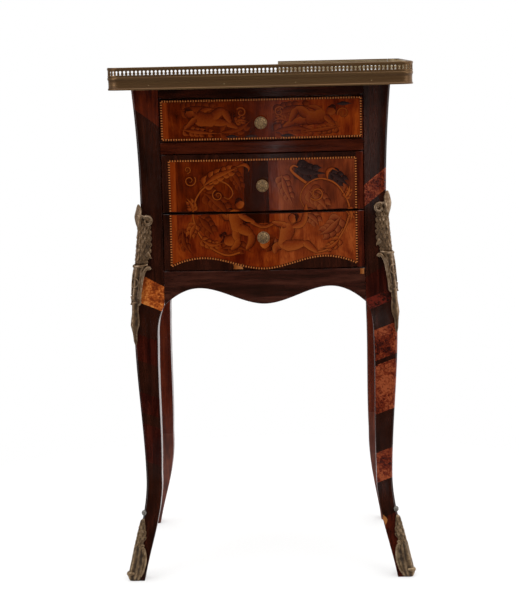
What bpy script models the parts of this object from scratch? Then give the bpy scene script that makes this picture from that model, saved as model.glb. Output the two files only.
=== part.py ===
"""A bedside table with three drawers on cabriole legs, with cast brass mounts and a pierced brass gallery.

Metres, +Z up. The front faces -Y, +X is to the right, and the origin lies on the floor between the feet.
"""

import math

import bmesh
import bpy
from mathutils import Matrix, Vector

# Clearances
GAP = 0.0003  # between pieces that are glued, screwed or seated
DRAWER_PLAY = 0.0010  # round each drawer front

# Heights, stacked from the floor up
OPENING_BOTTOM = 0.4388
LOWER_DRAWER_HEIGHT = 0.0797
MIDDLE_DRAWER_HEIGHT = 0.0815
MIDDLE_RAIL_HEIGHT = 0.0165
UPPER_DRAWER_HEIGHT = 0.0595
TOP_RAIL_HEIGHT = 0.0134
TOP_THICKNESS = 0.0180
GALLERY_HEIGHT = 0.0126

# Case and legs: the outer faces curve in and out from the waist, the narrowest section of the case
WAIST_HALF_WIDTH = 0.1700
WAIST_HALF_DEPTH = 0.1180
WAIST_HEIGHT = 0.5300
KNEE_HEIGHT = 0.3550
ANKLE_HEIGHT = 0.1400
TOP_FLARE = 0.0068
KNEE_FLARE = 0.0132
ANKLE_FLARE = 0.0046
TOE_FLARE = 0.0305
REAR_TUCK = 0.0080  # the right rear foot splays this much less to the side than the others
STILE_WIDTH = 0.0302
KNEE_WIDTH = 0.0324
ANKLE_WIDTH = 0.0225
FOOT_WIDTH = 0.0215
SLIM_TOP = 0.1500  # the leg tapers from the knee down to here
SLIM_BOTTOM = 0.0900  # and keeps its width down to here, where the foot begins
BRACKET_DROP = 0.0473  # the leg has spread into the full post this far below the drawers
BRACKET_HEIGHT = 0.0535  # and it starts to spread this far lower
POST_ROUND = 0.0040  # rounding of the outer corner
FRONT_BOW = 0.0080  # how far the front swells between the posts

# Boards
RAIL_THICKNESS = 0.0180
SIDE_THICKNESS = 0.0120
BACK_THICKNESS = 0.0080
BOTTOM_THICKNESS = 0.0080
BACK_RAIL_HEIGHT = 0.0400
TENON_LENGTH = 0.0120
TENON_THICKNESS = 0.0080
TENON_SHOULDER = 0.0030
TONGUE_LENGTH = 0.0080
TONGUE_THICKNESS = 0.0060
TONGUE_STOP = 0.0120  # the tongue ends this far inside the panel

# Serpentine lower edges of the front apron and of the side panels, as depths below the drawers
APRON_CENTRE_DEPTH = 0.0463
APRON_PEAK_DEPTH = 0.0238
APRON_PEAK_AT = 0.0900
SIDE_CENTRE_DEPTH = 0.0388
SIDE_PEAK_DEPTH = 0.0258
SIDE_PEAK_AT = 0.0550

# Top, brass edge band and gallery
TOP_SIDE_OVERHANG = 0.0373  # beyond the waist of the case
TOP_END_OVERHANG = 0.0383  # the same at the front and back
TOP_CORNER = 0.0180
TOP_BOW = 0.0080
BAND_THICKNESS = 0.0030
BAND_RELIEF = 0.0012  # depth of the hollow between the band's two beads
BAND_LOWER_BEAD = 0.0030
BAND_UPPER_BEAD = 0.0042
BAND_SLOPE = 0.0010
GALLERY_THICKNESS = 0.0016
GALLERY_SETBACK = 0.0005
GALLERY_FOOT = 0.0016
GALLERY_RIM = 0.0038
GALLERY_PITCH = 0.0108
GALLERY_PIERCING = 0.0066
REAR_GALLERY_END = 0.0220  # the rear gallery runs from the right corner to here

# Drawers
DRAWER_SIDE = 0.0090
DRAWER_BACK = 0.0080
DRAWER_BOTTOM = 0.0060
DRAWER_BOTTOM_LIFT = 0.0060
DRAWER_GROOVE = 0.0045
DRAWER_SIDE_DROP = 0.0120  # the sides stop this far below the front's opening
DRAWER_BACK_DROP = 0.0030
DRAWER_END_PLAY = 0.0008
DOVETAIL_LENGTH = 0.0100
DOVETAIL_PITCH = 0.0240
DOVETAIL_ROOT = 0.0110
DOVETAIL_SPLAY = 0.0018
RUNNER_THICKNESS = 0.0100
RUNNER_LEDGE = 0.0110  # how far a runner reaches under the drawer side
GUIDE_HEIGHT = 0.0080

# Knobs, turned in brass, with a threaded stud and a nut inside the drawer
UPPER_KNOB_HEIGHT = 0.0253
MIDDLE_KNOB_HEIGHT = 0.0375
LOWER_KNOB_HEIGHT = 0.0462
KNOB_RADIUS = 0.0085
KNOB_LENGTH = 0.0185
KNOB_BASE_RADIUS = 0.0062
KNOB_NECK_RADIUS = 0.0036
STUD_RADIUS = 0.0020
NUT_RADIUS = 0.0055
NUT_THICKNESS = 0.0040
STUD_TAIL = 0.0015
KNOB_PROFILE = (  # shares of the radius and of the length, from the crown to the neck
    (0.00, 1.00),
    (0.45, 0.985),
    (0.82, 0.90),
    (1.00, 0.73),
    (0.90, 0.58),
)
KNOB_NECK_SPAN = (0.44, 0.24)  # shares of the length between which the neck is straight
KNOB_BASE_EDGE = 0.0020

# Corner mounts on the front posts: share of the length down from the tip, reach across each face, thickness
MOUNT_TOP = 0.5320
MOUNT_LENGTH = 0.1960
MOUNT_STEP = 0.0120  # the right mount was pinned this much higher than the left one
MOUNT_SECTIONS = (
    (0.00, 0.0045, 0.0016),
    (0.06, 0.0095, 0.0050),
    (0.15, 0.0165, 0.0064),
    (0.28, 0.0180, 0.0064),
    (0.39, 0.0190, 0.0066),
    (0.46, 0.0165, 0.0070),
    (0.51, 0.0105, 0.0066),
    (0.60, 0.0100, 0.0068),
    (0.80, 0.0090, 0.0080),
    (0.91, 0.0065, 0.0048),
    (1.00, 0.0045, 0.0012),
)
MOUNT_RINGS = 24
MOUNT_EDGE = 0.0010  # thickness of a casting's rim

# Sabots, the brass shoes, in the same terms
SABOT_TOP = 0.0850
SABOT_LIFT = 0.0005
SABOT_SECTIONS = (
    (0.00, 0.0045, 0.0010),
    (0.14, 0.0070, 0.0022),
    (0.35, 0.0090, 0.0026),
    (0.60, 0.0110, 0.0030),
    (0.78, 0.0160, 0.0036),
    (0.90, 0.0180, 0.0072),
    (1.00, 0.0170, 0.0046),
)
SABOT_RINGS = 12

# Round-headed nails above the sabots
NAIL_HEIGHT = 0.0930
NAIL_HEAD_RADIUS = 0.0042
NAIL_HEAD_HEIGHT = 0.0038
NAIL_SHANK_RADIUS = 0.0010
NAIL_LENGTH = 0.0080

# Workshop allowances
TENON_ROOT = 0.0080  # how deep a tenon or tongue is rooted in its board
CUTTER_OVERRUN = 0.0020

# Mesh fineness
BOARD_COLUMNS = 12
APRON_COLUMNS = 28
RAIL_ROWS = 1
APRON_ROWS = 3
DRAWER_ROWS = 4
PANEL_ROWS = 12
FOOT_STEPS = 10
LEG_STEPS = 8
BRACKET_STEPS = 5
POST_STEPS = 10
NECK_STEPS = 6
CORNER_STEPS = 4
TURNED_STEPS = 16
SMOOTH_ANGLE = math.radians(35)
FLAT_ANGLE = math.radians(0.03)
WELD = 0.00005

# Levels and planes that follow from the driving dimensions
MIDDLE_DRAWER_LOW = OPENING_BOTTOM + LOWER_DRAWER_HEIGHT
MIDDLE_RAIL_LOW = MIDDLE_DRAWER_LOW + MIDDLE_DRAWER_HEIGHT
UPPER_DRAWER_LOW = MIDDLE_RAIL_LOW + MIDDLE_RAIL_HEIGHT
TOP_RAIL_LOW = UPPER_DRAWER_LOW + UPPER_DRAWER_HEIGHT
CASE_TOP = TOP_RAIL_LOW + TOP_RAIL_HEIGHT
TOP_SURFACE = CASE_TOP + TOP_THICKNESS
OVERALL_HEIGHT = TOP_SURFACE + GALLERY_HEIGHT
BRACKET_TOP = OPENING_BOTTOM - BRACKET_DROP
BRACKET_BOTTOM = BRACKET_TOP - BRACKET_HEIGHT
APRON_CENTRE = OPENING_BOTTOM - APRON_CENTRE_DEPTH
APRON_PEAK = OPENING_BOTTOM - APRON_PEAK_DEPTH
SIDE_CENTRE = OPENING_BOTTOM - SIDE_CENTRE_DEPTH
SIDE_PEAK = OPENING_BOTTOM - SIDE_PEAK_DEPTH
TOP_HALF_WIDTH = WAIST_HALF_WIDTH + TOP_SIDE_OVERHANG
TOP_HALF_DEPTH = WAIST_HALF_DEPTH + TOP_END_OVERHANG
OPENING_HALF_WIDTH = WAIST_HALF_WIDTH - STILE_WIDTH
SIDE_HALF_LENGTH = WAIST_HALF_DEPTH - STILE_WIDTH
FRONT_BACK_PLANE = WAIST_HALF_DEPTH - RAIL_THICKNESS  # back of the rails and drawer fronts
SIDE_INNER_PLANE = WAIST_HALF_WIDTH - SIDE_THICKNESS
DRAWER_REAR = FRONT_BACK_PLANE - DRAWER_END_PLAY
DRAWER_HALF_WIDTH = OPENING_HALF_WIDTH - DRAWER_PLAY
CORNERS = {
    "front_left": (-1, -1),
    "front_right": (1, -1),
    "rear_left": (-1, 1),
    "rear_right": (1, 1),
}


# Scene and materials

for old in list(bpy.data.objects):
    bpy.data.objects.remove(old)


def new_collection(name):
    collection = bpy.data.collections.new(name)
    bpy.context.scene.collection.children.link(collection)
    return collection


TABLE = new_collection("bedside_table")
CUTTERS = new_collection("cutters")


def new_material(name, colour, roughness, metallic):
    material = bpy.data.materials.new(name)
    material.use_nodes = True
    shader = material.node_tree.nodes["Principled BSDF"]
    shader.inputs["Base Color"].default_value = (*colour, 1.0)
    shader.inputs["Roughness"].default_value = roughness
    shader.inputs["Metallic"].default_value = metallic
    return material


MAHOGANY = new_material("polished_mahogany", (0.075, 0.018, 0.009), 0.22, 0.0)
MARQUETRY = new_material("marquetry_veneer", (0.190, 0.055, 0.016), 0.22, 0.0)
OAK = new_material("oak_lining", (0.330, 0.200, 0.095), 0.60, 0.0)
BRASS = new_material("aged_brass", (0.270, 0.190, 0.075), 0.38, 1.0)
STEEL = new_material("steel_nail", (0.300, 0.290, 0.270), 0.45, 1.0)


# Small tools


def add_object(name, mesh, material, collection=TABLE):
    piece = bpy.data.objects.new(name, mesh)
    mesh.materials.append(material)
    collection.objects.link(piece)
    return piece


def mesh_from(bm, name, smooth=False):
    """The finished mesh with its faces pointing out, and if asked shaded smooth between its sharp edges."""
    bmesh.ops.recalc_face_normals(bm, faces=bm.faces)
    mesh = bpy.data.meshes.new(name)
    bm.to_mesh(mesh)
    bm.free()
    if smooth:
        mesh.shade_smooth()
        mesh.set_sharp_from_angle(angle=SMOOTH_ANGLE)
    return mesh


def box(name, low, high, material, turn=0.0, collection=TABLE):
    """A box between two corners, given before the turn about Z."""
    low, high = Vector(low), Vector(high)
    bm = bmesh.new()
    bmesh.ops.create_cube(bm, size=1.0)
    bmesh.ops.scale(bm, vec=high - low, verts=bm.verts)
    piece = add_object(name, mesh_from(bm, name), material, collection)
    piece.location = Matrix.Rotation(turn, 3, "Z") @ ((low + high) / 2)
    piece.rotation_euler.z = turn
    return piece


def as_tool(piece):
    piece.hide_render = True
    piece.display_type = "WIRE"
    return piece


def boolean(piece, tool, operation):
    modifier = piece.modifiers.new(f"{operation.lower()}_{tool.name}", "BOOLEAN")
    modifier.operation = operation
    modifier.object = tool


def loft(name, rings, material, closed=False):
    """A skin over rings of equally many points, capped at both ends, or closed into a hoop."""
    bm = bmesh.new()
    loops = [[bm.verts.new(point) for point in ring] for ring in rings]
    pairs = list(zip(loops, loops[1:]))
    if closed:
        pairs.append((loops[-1], loops[0]))
    else:
        bm.faces.new(loops[0])
        bm.faces.new(loops[-1])
    for lower, upper in pairs:
        for i in range(len(lower)):
            j = (i + 1) % len(lower)
            bm.faces.new((lower[i], lower[j], upper[j], upper[i]))
    return add_object(name, mesh_from(bm, name, smooth=True), material)


def turned(name, profile, material, collection=TABLE):
    """A profile of (radius, height) points, run down its outer side, turned about Z."""
    bm = bmesh.new()
    points = [bm.verts.new((radius, 0.0, height)) for radius, height in profile]
    for first, second in zip(points, points[1:]):
        bm.edges.new((first, second))
    if profile[0][0] > 0.0:
        bm.edges.new((points[-1], points[0]))
    mesh = bpy.data.meshes.new(name)
    bm.to_mesh(mesh)
    bm.free()
    piece = add_object(name, mesh, material, collection)
    screw = piece.modifiers.new("turn", "SCREW")
    screw.steps = TURNED_STEPS
    screw.render_steps = TURNED_STEPS
    screw.use_merge_vertices = True
    screw.merge_threshold = WELD
    screw.use_smooth_shade = True
    return piece


def plate(name, outline, thickness, material, collection=TABLE):
    """A flat outline in local XY, thickened evenly to both sides along local Z, as a mesh."""
    curve = bpy.data.curves.new(name, "CURVE")
    curve.dimensions = "2D"
    curve.fill_mode = "BOTH"
    curve.extrude = thickness / 2
    spline = curve.splines.new("POLY")
    spline.points.add(len(outline) - 1)
    for point, (x, y) in zip(spline.points, outline):
        point.co = (x, y, 0.0, 1.0)
    spline.use_cyclic_u = True
    drawing = bpy.data.objects.new(name + "_outline", curve)
    collection.objects.link(drawing)
    graph = bpy.context.evaluated_depsgraph_get()
    mesh = bpy.data.meshes.new_from_object(drawing.evaluated_get(graph))
    bpy.data.objects.remove(drawing)
    mesh.materials.clear()
    bm = bmesh.new()
    bm.from_mesh(mesh)
    bmesh.ops.remove_doubles(bm, verts=bm.verts, dist=WELD)
    bmesh.ops.recalc_face_normals(bm, faces=bm.faces)
    bm.to_mesh(mesh)
    bm.free()
    mesh.name = name
    return add_object(name, mesh, material, collection)


def ease(t):
    return t * t * (3.0 - 2.0 * t)


def steps_between(low, high, count):
    return [low + (high - low) * i / count for i in range(count)]


def section_at(sections, share):
    """(reach, thickness) of a casting at a share of its length, eased between its named sections."""
    for upper, lower in zip(sections, sections[1:]):
        if share <= lower[0]:
            t = ease((share - upper[0]) / (lower[0] - upper[0]))
            return tuple(a + (b - a) * t for a, b in zip(upper[1:], lower[1:]))
    return sections[-1][1:]


# The curves that the case, legs and mounts share


def flare(z):
    """How far the outer faces stand out from the waist at a height."""
    if z >= WAIST_HEIGHT:
        t = (z - WAIST_HEIGHT) / (CASE_TOP - WAIST_HEIGHT)
        return TOP_FLARE * t * t
    if z >= KNEE_HEIGHT:
        return KNEE_FLARE * ease((WAIST_HEIGHT - z) / (WAIST_HEIGHT - KNEE_HEIGHT))
    if z >= ANKLE_HEIGHT:
        t = ease((KNEE_HEIGHT - z) / (KNEE_HEIGHT - ANKLE_HEIGHT))
        return KNEE_FLARE + (ANKLE_FLARE - KNEE_FLARE) * t
    t = (ANKLE_HEIGHT - z) / ANKLE_HEIGHT
    return ANKLE_FLARE + (TOE_FLARE - ANKLE_FLARE) * t * t * (2.0 - t)


def tuck(z, signs):
    """How far the right rear leg lies inside the line of the others at a height below the ankle."""
    t = max(0.0, (ANKLE_HEIGHT - z) / ANKLE_HEIGHT)
    return REAR_TUCK * t * t * (2.0 - t) if signs == (1, 1) else 0.0


def leg_width(z):
    if z >= SLIM_TOP:
        return ANKLE_WIDTH + (KNEE_WIDTH - ANKLE_WIDTH) * (z - SLIM_TOP) / (BRACKET_BOTTOM - SLIM_TOP)
    if z >= SLIM_BOTTOM:
        return ANKLE_WIDTH
    return ANKLE_WIDTH + (FOOT_WIDTH - ANKLE_WIDTH) * ease((SLIM_BOTTOM - z) / SLIM_BOTTOM)


def inset(z):
    """How far the inner faces of a post or leg lie inside the waist at a height."""
    if z >= BRACKET_TOP:
        return STILE_WIDTH
    if z <= BRACKET_BOTTOM:
        return leg_width(z) - flare(z)
    leg_inset = KNEE_WIDTH - flare(BRACKET_BOTTOM)
    t = (z - BRACKET_BOTTOM) / (BRACKET_TOP - BRACKET_BOTTOM)
    return leg_inset + (STILE_WIDTH - leg_inset) * t**3


def serpentine(x, half, centre, peak, peak_at):
    """Height of a wavy lower edge: a drop at the centre, a peak each side, and down again to the posts."""
    x = abs(x)
    if x <= peak_at:
        return centre + (peak - centre) * ease(x / peak_at)
    t = (x - peak_at) / (half - peak_at)
    return peak + (BRACKET_TOP - peak) * t * t


def front_face(x, z):
    """The swelling front of the rails, drawers and apron."""
    swell = FRONT_BOW * (1.0 - (x / OPENING_HALF_WIDTH) ** 2)
    return -(WAIST_HALF_DEPTH + flare(z) + swell)


def side_face(x, z):
    return -(WAIST_HALF_WIDTH + flare(z))


def back_face(x, z):
    return -(WAIST_HALF_DEPTH + flare(z))


# Boards of the case

mortises = []  # (cutter, place) pairs, cut from whichever post stands there


def shaped_board(name, half_width, low, high, face, back, columns, rows, material, turn=0.0):
    """A board facing -Y before its turn. low and high are functions of x, and its back is flat at back."""
    bm = bmesh.new()
    bmesh.ops.create_grid(bm, x_segments=columns, y_segments=rows, size=1.0)
    for vert in bm.verts:
        x = vert.co.x * half_width
        share = (vert.co.y + 1.0) / 2.0
        z = low(x) + (high(x) - low(x)) * share
        vert.co = (x, face(x, z), z)
    copy = bmesh.ops.duplicate(bm, geom=bm.verts[:] + bm.edges[:] + bm.faces[:])["geom"]
    for vert in (item for item in copy if isinstance(item, bmesh.types.BMVert)):
        vert.co.y = back
    rims = [edge for edge in bm.edges if edge.is_boundary]
    bmesh.ops.bridge_loops(bm, edges=rims)
    bmesh.ops.dissolve_limit(bm, angle_limit=FLAT_ANGLE, verts=bm.verts, edges=bm.edges)
    piece = add_object(name, mesh_from(bm, name, smooth=True), material)
    piece.rotation_euler.z = turn
    return piece


def joint_pair(board, half_width, length, low, high, turn=0.0):
    """Tenons or tongues at a board's two ends, and their mortises. low and high are (y, z) corners."""
    for side in (-1, 1):
        ends = sorted((side * (half_width - TENON_ROOT), side * (half_width + length)))
        name = f"{board.name}_{'left' if side < 0 else 'right'}"
        low_corner = Vector((ends[0], *low))
        high_corner = Vector((ends[1], *high))
        room = Vector((GAP, GAP, GAP))
        tenon = box(name + "_tenon", low_corner, high_corner, MAHOGANY, turn, CUTTERS)
        mortise = box(name + "_mortise", low_corner - room, high_corner + room, MAHOGANY, turn, CUTTERS)
        boolean(board, as_tool(tenon), "UNION")
        mortises.append((as_tool(mortise), mortise.location))


def front_rail(name, low, high):
    rail = shaped_board(
        name,
        OPENING_HALF_WIDTH - GAP,
        lambda x: low + GAP,
        lambda x: high - GAP,
        front_face,
        -FRONT_BACK_PLANE,
        BOARD_COLUMNS,
        RAIL_ROWS,
        MAHOGANY,
    )
    middle = -FRONT_BACK_PLANE - RAIL_THICKNESS / 2
    joint_pair(
        rail,
        OPENING_HALF_WIDTH,
        TENON_LENGTH,
        (middle - TENON_THICKNESS / 2, low + TENON_SHOULDER),
        (middle + TENON_THICKNESS / 2, high - TENON_SHOULDER),
    )


def front_apron():
    apron = shaped_board(
        "front_apron",
        OPENING_HALF_WIDTH - GAP,
        lambda x: serpentine(x, OPENING_HALF_WIDTH, APRON_CENTRE, APRON_PEAK, APRON_PEAK_AT),
        lambda x: OPENING_BOTTOM - GAP,
        front_face,
        -FRONT_BACK_PLANE,
        APRON_COLUMNS,
        APRON_ROWS,
        MAHOGANY,
    )
    middle = -FRONT_BACK_PLANE - RAIL_THICKNESS / 2
    joint_pair(
        apron,
        OPENING_HALF_WIDTH,
        TENON_LENGTH,
        (middle - TENON_THICKNESS / 2, APRON_PEAK + TENON_SHOULDER),
        (middle + TENON_THICKNESS / 2, OPENING_BOTTOM - TENON_SHOULDER),
    )


def side_panel(name, turn):
    panel = shaped_board(
        name,
        SIDE_HALF_LENGTH - GAP,
        lambda x: serpentine(x, SIDE_HALF_LENGTH, SIDE_CENTRE, SIDE_PEAK, SIDE_PEAK_AT),
        lambda x: CASE_TOP - GAP,
        side_face,
        -SIDE_INNER_PLANE,
        BOARD_COLUMNS,
        PANEL_ROWS,
        MAHOGANY,
        turn,
    )
    middle = -SIDE_INNER_PLANE - SIDE_THICKNESS / 2
    joint_pair(
        panel,
        SIDE_HALF_LENGTH,
        TONGUE_LENGTH,
        (middle - TONGUE_THICKNESS / 2, SIDE_PEAK + TONGUE_STOP),
        (middle + TONGUE_THICKNESS / 2, CASE_TOP - TONGUE_STOP),
        turn,
    )


def back_boards():
    rail_low = OPENING_BOTTOM - BACK_RAIL_HEIGHT
    rail = shaped_board(
        "back_rail",
        OPENING_HALF_WIDTH - GAP,
        lambda x: rail_low,
        lambda x: OPENING_BOTTOM - GAP,
        back_face,
        -FRONT_BACK_PLANE,
        RAIL_ROWS,
        APRON_ROWS,
        OAK,
        math.pi,
    )
    middle = -FRONT_BACK_PLANE - RAIL_THICKNESS / 2
    joint_pair(
        rail,
        OPENING_HALF_WIDTH,
        TENON_LENGTH,
        (middle - TENON_THICKNESS / 2, rail_low + TENON_SHOULDER),
        (middle + TENON_THICKNESS / 2, OPENING_BOTTOM - TENON_SHOULDER),
        math.pi,
    )
    box(
        "back_panel",
        (-OPENING_HALF_WIDTH + GAP, FRONT_BACK_PLANE, OPENING_BOTTOM),
        (OPENING_HALF_WIDTH - GAP, FRONT_BACK_PLANE + BACK_THICKNESS, CASE_TOP - GAP),
        OAK,
    )
    board_top = OPENING_BOTTOM - RUNNER_THICKNESS - GAP
    box(
        "bottom_board",
        (-OPENING_HALF_WIDTH + GAP, -FRONT_BACK_PLANE + GAP, board_top - BOTTOM_THICKNESS),
        (OPENING_HALF_WIDTH - GAP, FRONT_BACK_PLANE - GAP, board_top),
        OAK,
    )


def runner(name, side, top, thickness):
    """An L-shaped strip between the posts: a ledge under the drawer side and a guide beside it."""
    ledge = OPENING_HALF_WIDTH - RUNNER_LEDGE
    guide = OPENING_HALF_WIDTH
    wall = SIDE_INNER_PLANE - GAP
    outline = (
        (ledge, top - thickness),
        (wall, top - thickness),
        (wall, top + GUIDE_HEIGHT),
        (guide, top + GUIDE_HEIGHT),
        (guide, top),
        (ledge, top),
    )
    strip = plate(name, [(side * x, z) for x, z in outline], 2 * (SIDE_HALF_LENGTH - GAP), OAK)
    strip.rotation_euler.x = math.pi / 2


def runners():
    levels = (
        ("upper", UPPER_DRAWER_LOW, MIDDLE_RAIL_HEIGHT),
        ("middle", MIDDLE_DRAWER_LOW, RUNNER_THICKNESS),
        ("lower", OPENING_BOTTOM, RUNNER_THICKNESS),
    )
    for side, hand in ((-1, "left"), (1, "right")):
        for level, top, thickness in levels:
            runner(f"{level}_runner_{hand}", side, top, thickness)
        ends = sorted((side * (OPENING_HALF_WIDTH - RUNNER_LEDGE), side * (SIDE_INNER_PLANE - GAP)))
        box(
            f"kicker_{hand}",
            (ends[0], -SIDE_HALF_LENGTH + GAP, TOP_RAIL_LOW),
            (ends[1], SIDE_HALF_LENGTH - GAP, CASE_TOP),
            OAK,
        )


# Legs, with everything that is cut into them


def post_section(z, signs):
    """The six points of a post at a height, with its outer corner rounded."""
    outer_x, outer_y = WAIST_HALF_WIDTH + flare(z), WAIST_HALF_DEPTH + flare(z)
    inner_x, inner_y = WAIST_HALF_WIDTH - inset(z), WAIST_HALF_DEPTH - inset(z)
    points = [(inner_x, inner_y), (outer_x, inner_y)]
    for step in range(3):
        turn = step * math.pi / 4
        x = outer_x - POST_ROUND * (1.0 - math.cos(turn))
        y = outer_y - POST_ROUND * (1.0 - math.sin(turn))
        points.append((x, y))
    points.append((inner_x, outer_y))
    return [(signs[0] * (x - tuck(z, signs)), signs[1] * y, z) for x, y in points]


def leg(corner, signs):
    levels = (
        steps_between(0.0, ANKLE_HEIGHT, FOOT_STEPS)
        + steps_between(ANKLE_HEIGHT, BRACKET_BOTTOM, LEG_STEPS)
        + steps_between(BRACKET_BOTTOM, BRACKET_TOP, BRACKET_STEPS)
        + steps_between(BRACKET_TOP, WAIST_HEIGHT, POST_STEPS)
        + steps_between(WAIST_HEIGHT, CASE_TOP, NECK_STEPS)
        + [CASE_TOP]
    )
    post = loft(f"leg_{corner}", [post_section(z, signs) for z in levels], MAHOGANY)
    for cutter, place in mortises:
        if place.x * signs[0] > 0.0 and place.y * signs[1] > 0.0:
            boolean(post, cutter, "DIFFERENCE")
    return post


def sabot_nail(corner, signs, post):
    """A round-headed nail driven square into the sloping outer corner, and its hole."""
    ridge = POST_ROUND * (1.0 - math.cos(math.pi / 4))
    reach = flare(NAIL_HEIGHT) - ridge
    place = (
        signs[0] * (WAIST_HALF_WIDTH + reach - tuck(NAIL_HEIGHT, signs)),
        signs[1] * (WAIST_HALF_DEPTH + reach),
        NAIL_HEIGHT,
    )
    low, high = NAIL_HEIGHT - NAIL_HEAD_RADIUS, NAIL_HEIGHT + NAIL_HEAD_RADIUS
    splay = flare(low) - flare(high) - (tuck(low, signs) - tuck(high, signs)) / 2
    rise = splay / NAIL_HEAD_RADIUS
    outward = Vector((signs[0], signs[1], rise))
    turn = outward.to_track_quat("Z", "Y").to_euler()
    profile = [(0.0, GAP + NAIL_HEAD_HEIGHT)]
    for angle in (30, 60, 90):
        bend = math.radians(angle)
        profile.append((NAIL_HEAD_RADIUS * math.sin(bend), GAP + NAIL_HEAD_HEIGHT * math.cos(bend)))
    profile += [(NAIL_SHANK_RADIUS, GAP), (NAIL_SHANK_RADIUS, -NAIL_LENGTH), (0.0, -NAIL_LENGTH)]
    nail = turned(f"sabot_nail_{corner}", profile, STEEL)
    hole_radius = NAIL_SHANK_RADIUS + GAP
    hole_profile = [
        (0.0, CUTTER_OVERRUN),
        (hole_radius, CUTTER_OVERRUN),
        (hole_radius, -NAIL_LENGTH - GAP),
        (0.0, -NAIL_LENGTH - GAP),
    ]
    hole = as_tool(turned(f"sabot_nail_{corner}_hole", hole_profile, STEEL, CUTTERS))
    for piece in (nail, hole):
        piece.location = place
        piece.rotation_euler = turn
    boolean(post, hole, "DIFFERENCE")


# Cast mounts that hug the outer corner of a post


def casting_ring(z, signs, reach, thickness):
    """A band round the corner: out along its rim and crown, and back along its seat."""
    outer_x, outer_y = WAIST_HALF_WIDTH + flare(z), WAIST_HALF_DEPTH + flare(z)
    rim = min(MOUNT_EDGE, thickness)

    def layer(edge, crown):
        points = [(outer_x + edge, outer_y - reach)]
        for step in range(3):
            turn = step * math.pi / 4
            x = outer_x - POST_ROUND + (POST_ROUND + crown) * math.cos(turn)
            y = outer_y - POST_ROUND + (POST_ROUND + crown) * math.sin(turn)
            points.append((x, y))
        points.append((outer_x - reach, outer_y + edge))
        return points

    points = layer(GAP + rim, GAP + thickness) + layer(GAP, GAP)[::-1]
    return [(signs[0] * (x - tuck(z, signs)), signs[1] * y, z) for x, y in points]


def casting(name, signs, top, length, sections, count):
    rings = []
    for i in range(count + 1):
        share = i / count
        rings.append(casting_ring(top - length * share, signs, *section_at(sections, share)))
    loft(name, rings, BRASS)


def corner_pieces():
    for corner, signs in CORNERS.items():
        post = leg(corner, signs)
        sabot_nail(corner, signs, post)
        casting(f"sabot_{corner}", signs, SABOT_TOP, SABOT_TOP - SABOT_LIFT, SABOT_SECTIONS, SABOT_RINGS)
        if signs[1] < 0:
            side, step = ("left", 0.0) if signs[0] < 0 else ("right", MOUNT_STEP)
            top = MOUNT_TOP + step
            casting(f"corner_mount_{side}", signs, top, MOUNT_LENGTH, MOUNT_SECTIONS, MOUNT_RINGS)


# Top, edge band and gallery


def edge_runs():
    """The outermost edge of the top, anticlockwise from the front left: (point, outward normal) samples."""
    corner_x = TOP_HALF_WIDTH - TOP_CORNER
    front_y = -(TOP_HALF_DEPTH - TOP_BOW) + TOP_CORNER
    rear_y = TOP_HALF_DEPTH - TOP_CORNER

    def corner(x, y, start):
        samples = []
        for i in range(CORNER_STEPS + 1):
            turn = math.radians(start + 90.0 * i / CORNER_STEPS)
            normal = Vector((math.cos(turn), math.sin(turn)))
            samples.append((Vector((x, y)) + TOP_CORNER * normal, normal))
        return samples

    front = []
    for i in range(1, BOARD_COLUMNS):
        x = corner_x * (2.0 * i / BOARD_COLUMNS - 1.0)
        y = -(TOP_HALF_DEPTH - TOP_BOW * (x / corner_x) ** 2)
        slope = 2.0 * TOP_BOW * x / corner_x**2
        front.append((Vector((x, y)), Vector((slope, -1.0)).normalized()))
    return {
        "front_left": corner(-corner_x, front_y, 180.0),
        "front": front,
        "front_right": corner(corner_x, front_y, 270.0),
        "rear_right": corner(corner_x, rear_y, 0.0),
        "rear_left": corner(-corner_x, rear_y, 90.0),
    }


def edge_band(runs):
    low, high = CASE_TOP, TOP_SURFACE
    hollow_low, hollow_high = low + BAND_LOWER_BEAD, high - BAND_UPPER_BEAD
    profile = (
        (BAND_THICKNESS, low),
        (0.0, low),
        (0.0, hollow_low),
        (BAND_RELIEF, hollow_low + BAND_SLOPE),
        (BAND_RELIEF, hollow_high - BAND_SLOPE),
        (0.0, hollow_high),
        (0.0, high),
        (BAND_THICKNESS, high),
    )
    samples = [sample for run in runs.values() for sample in run]
    rings = [[(*(point - normal * depth), z) for point, normal in samples] for depth, z in profile]
    loft("edge_band", rings, BRASS, closed=True)


def top_board(runs):
    samples = [sample for run in runs.values() for sample in run]
    depth = BAND_THICKNESS + GAP
    outline = [tuple(point - normal * depth) for point, normal in samples]
    board = plate("top_board", outline, TOP_THICKNESS - GAP, MAHOGANY)
    board.location.z = TOP_SURFACE - (TOP_THICKNESS - GAP) / 2


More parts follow.
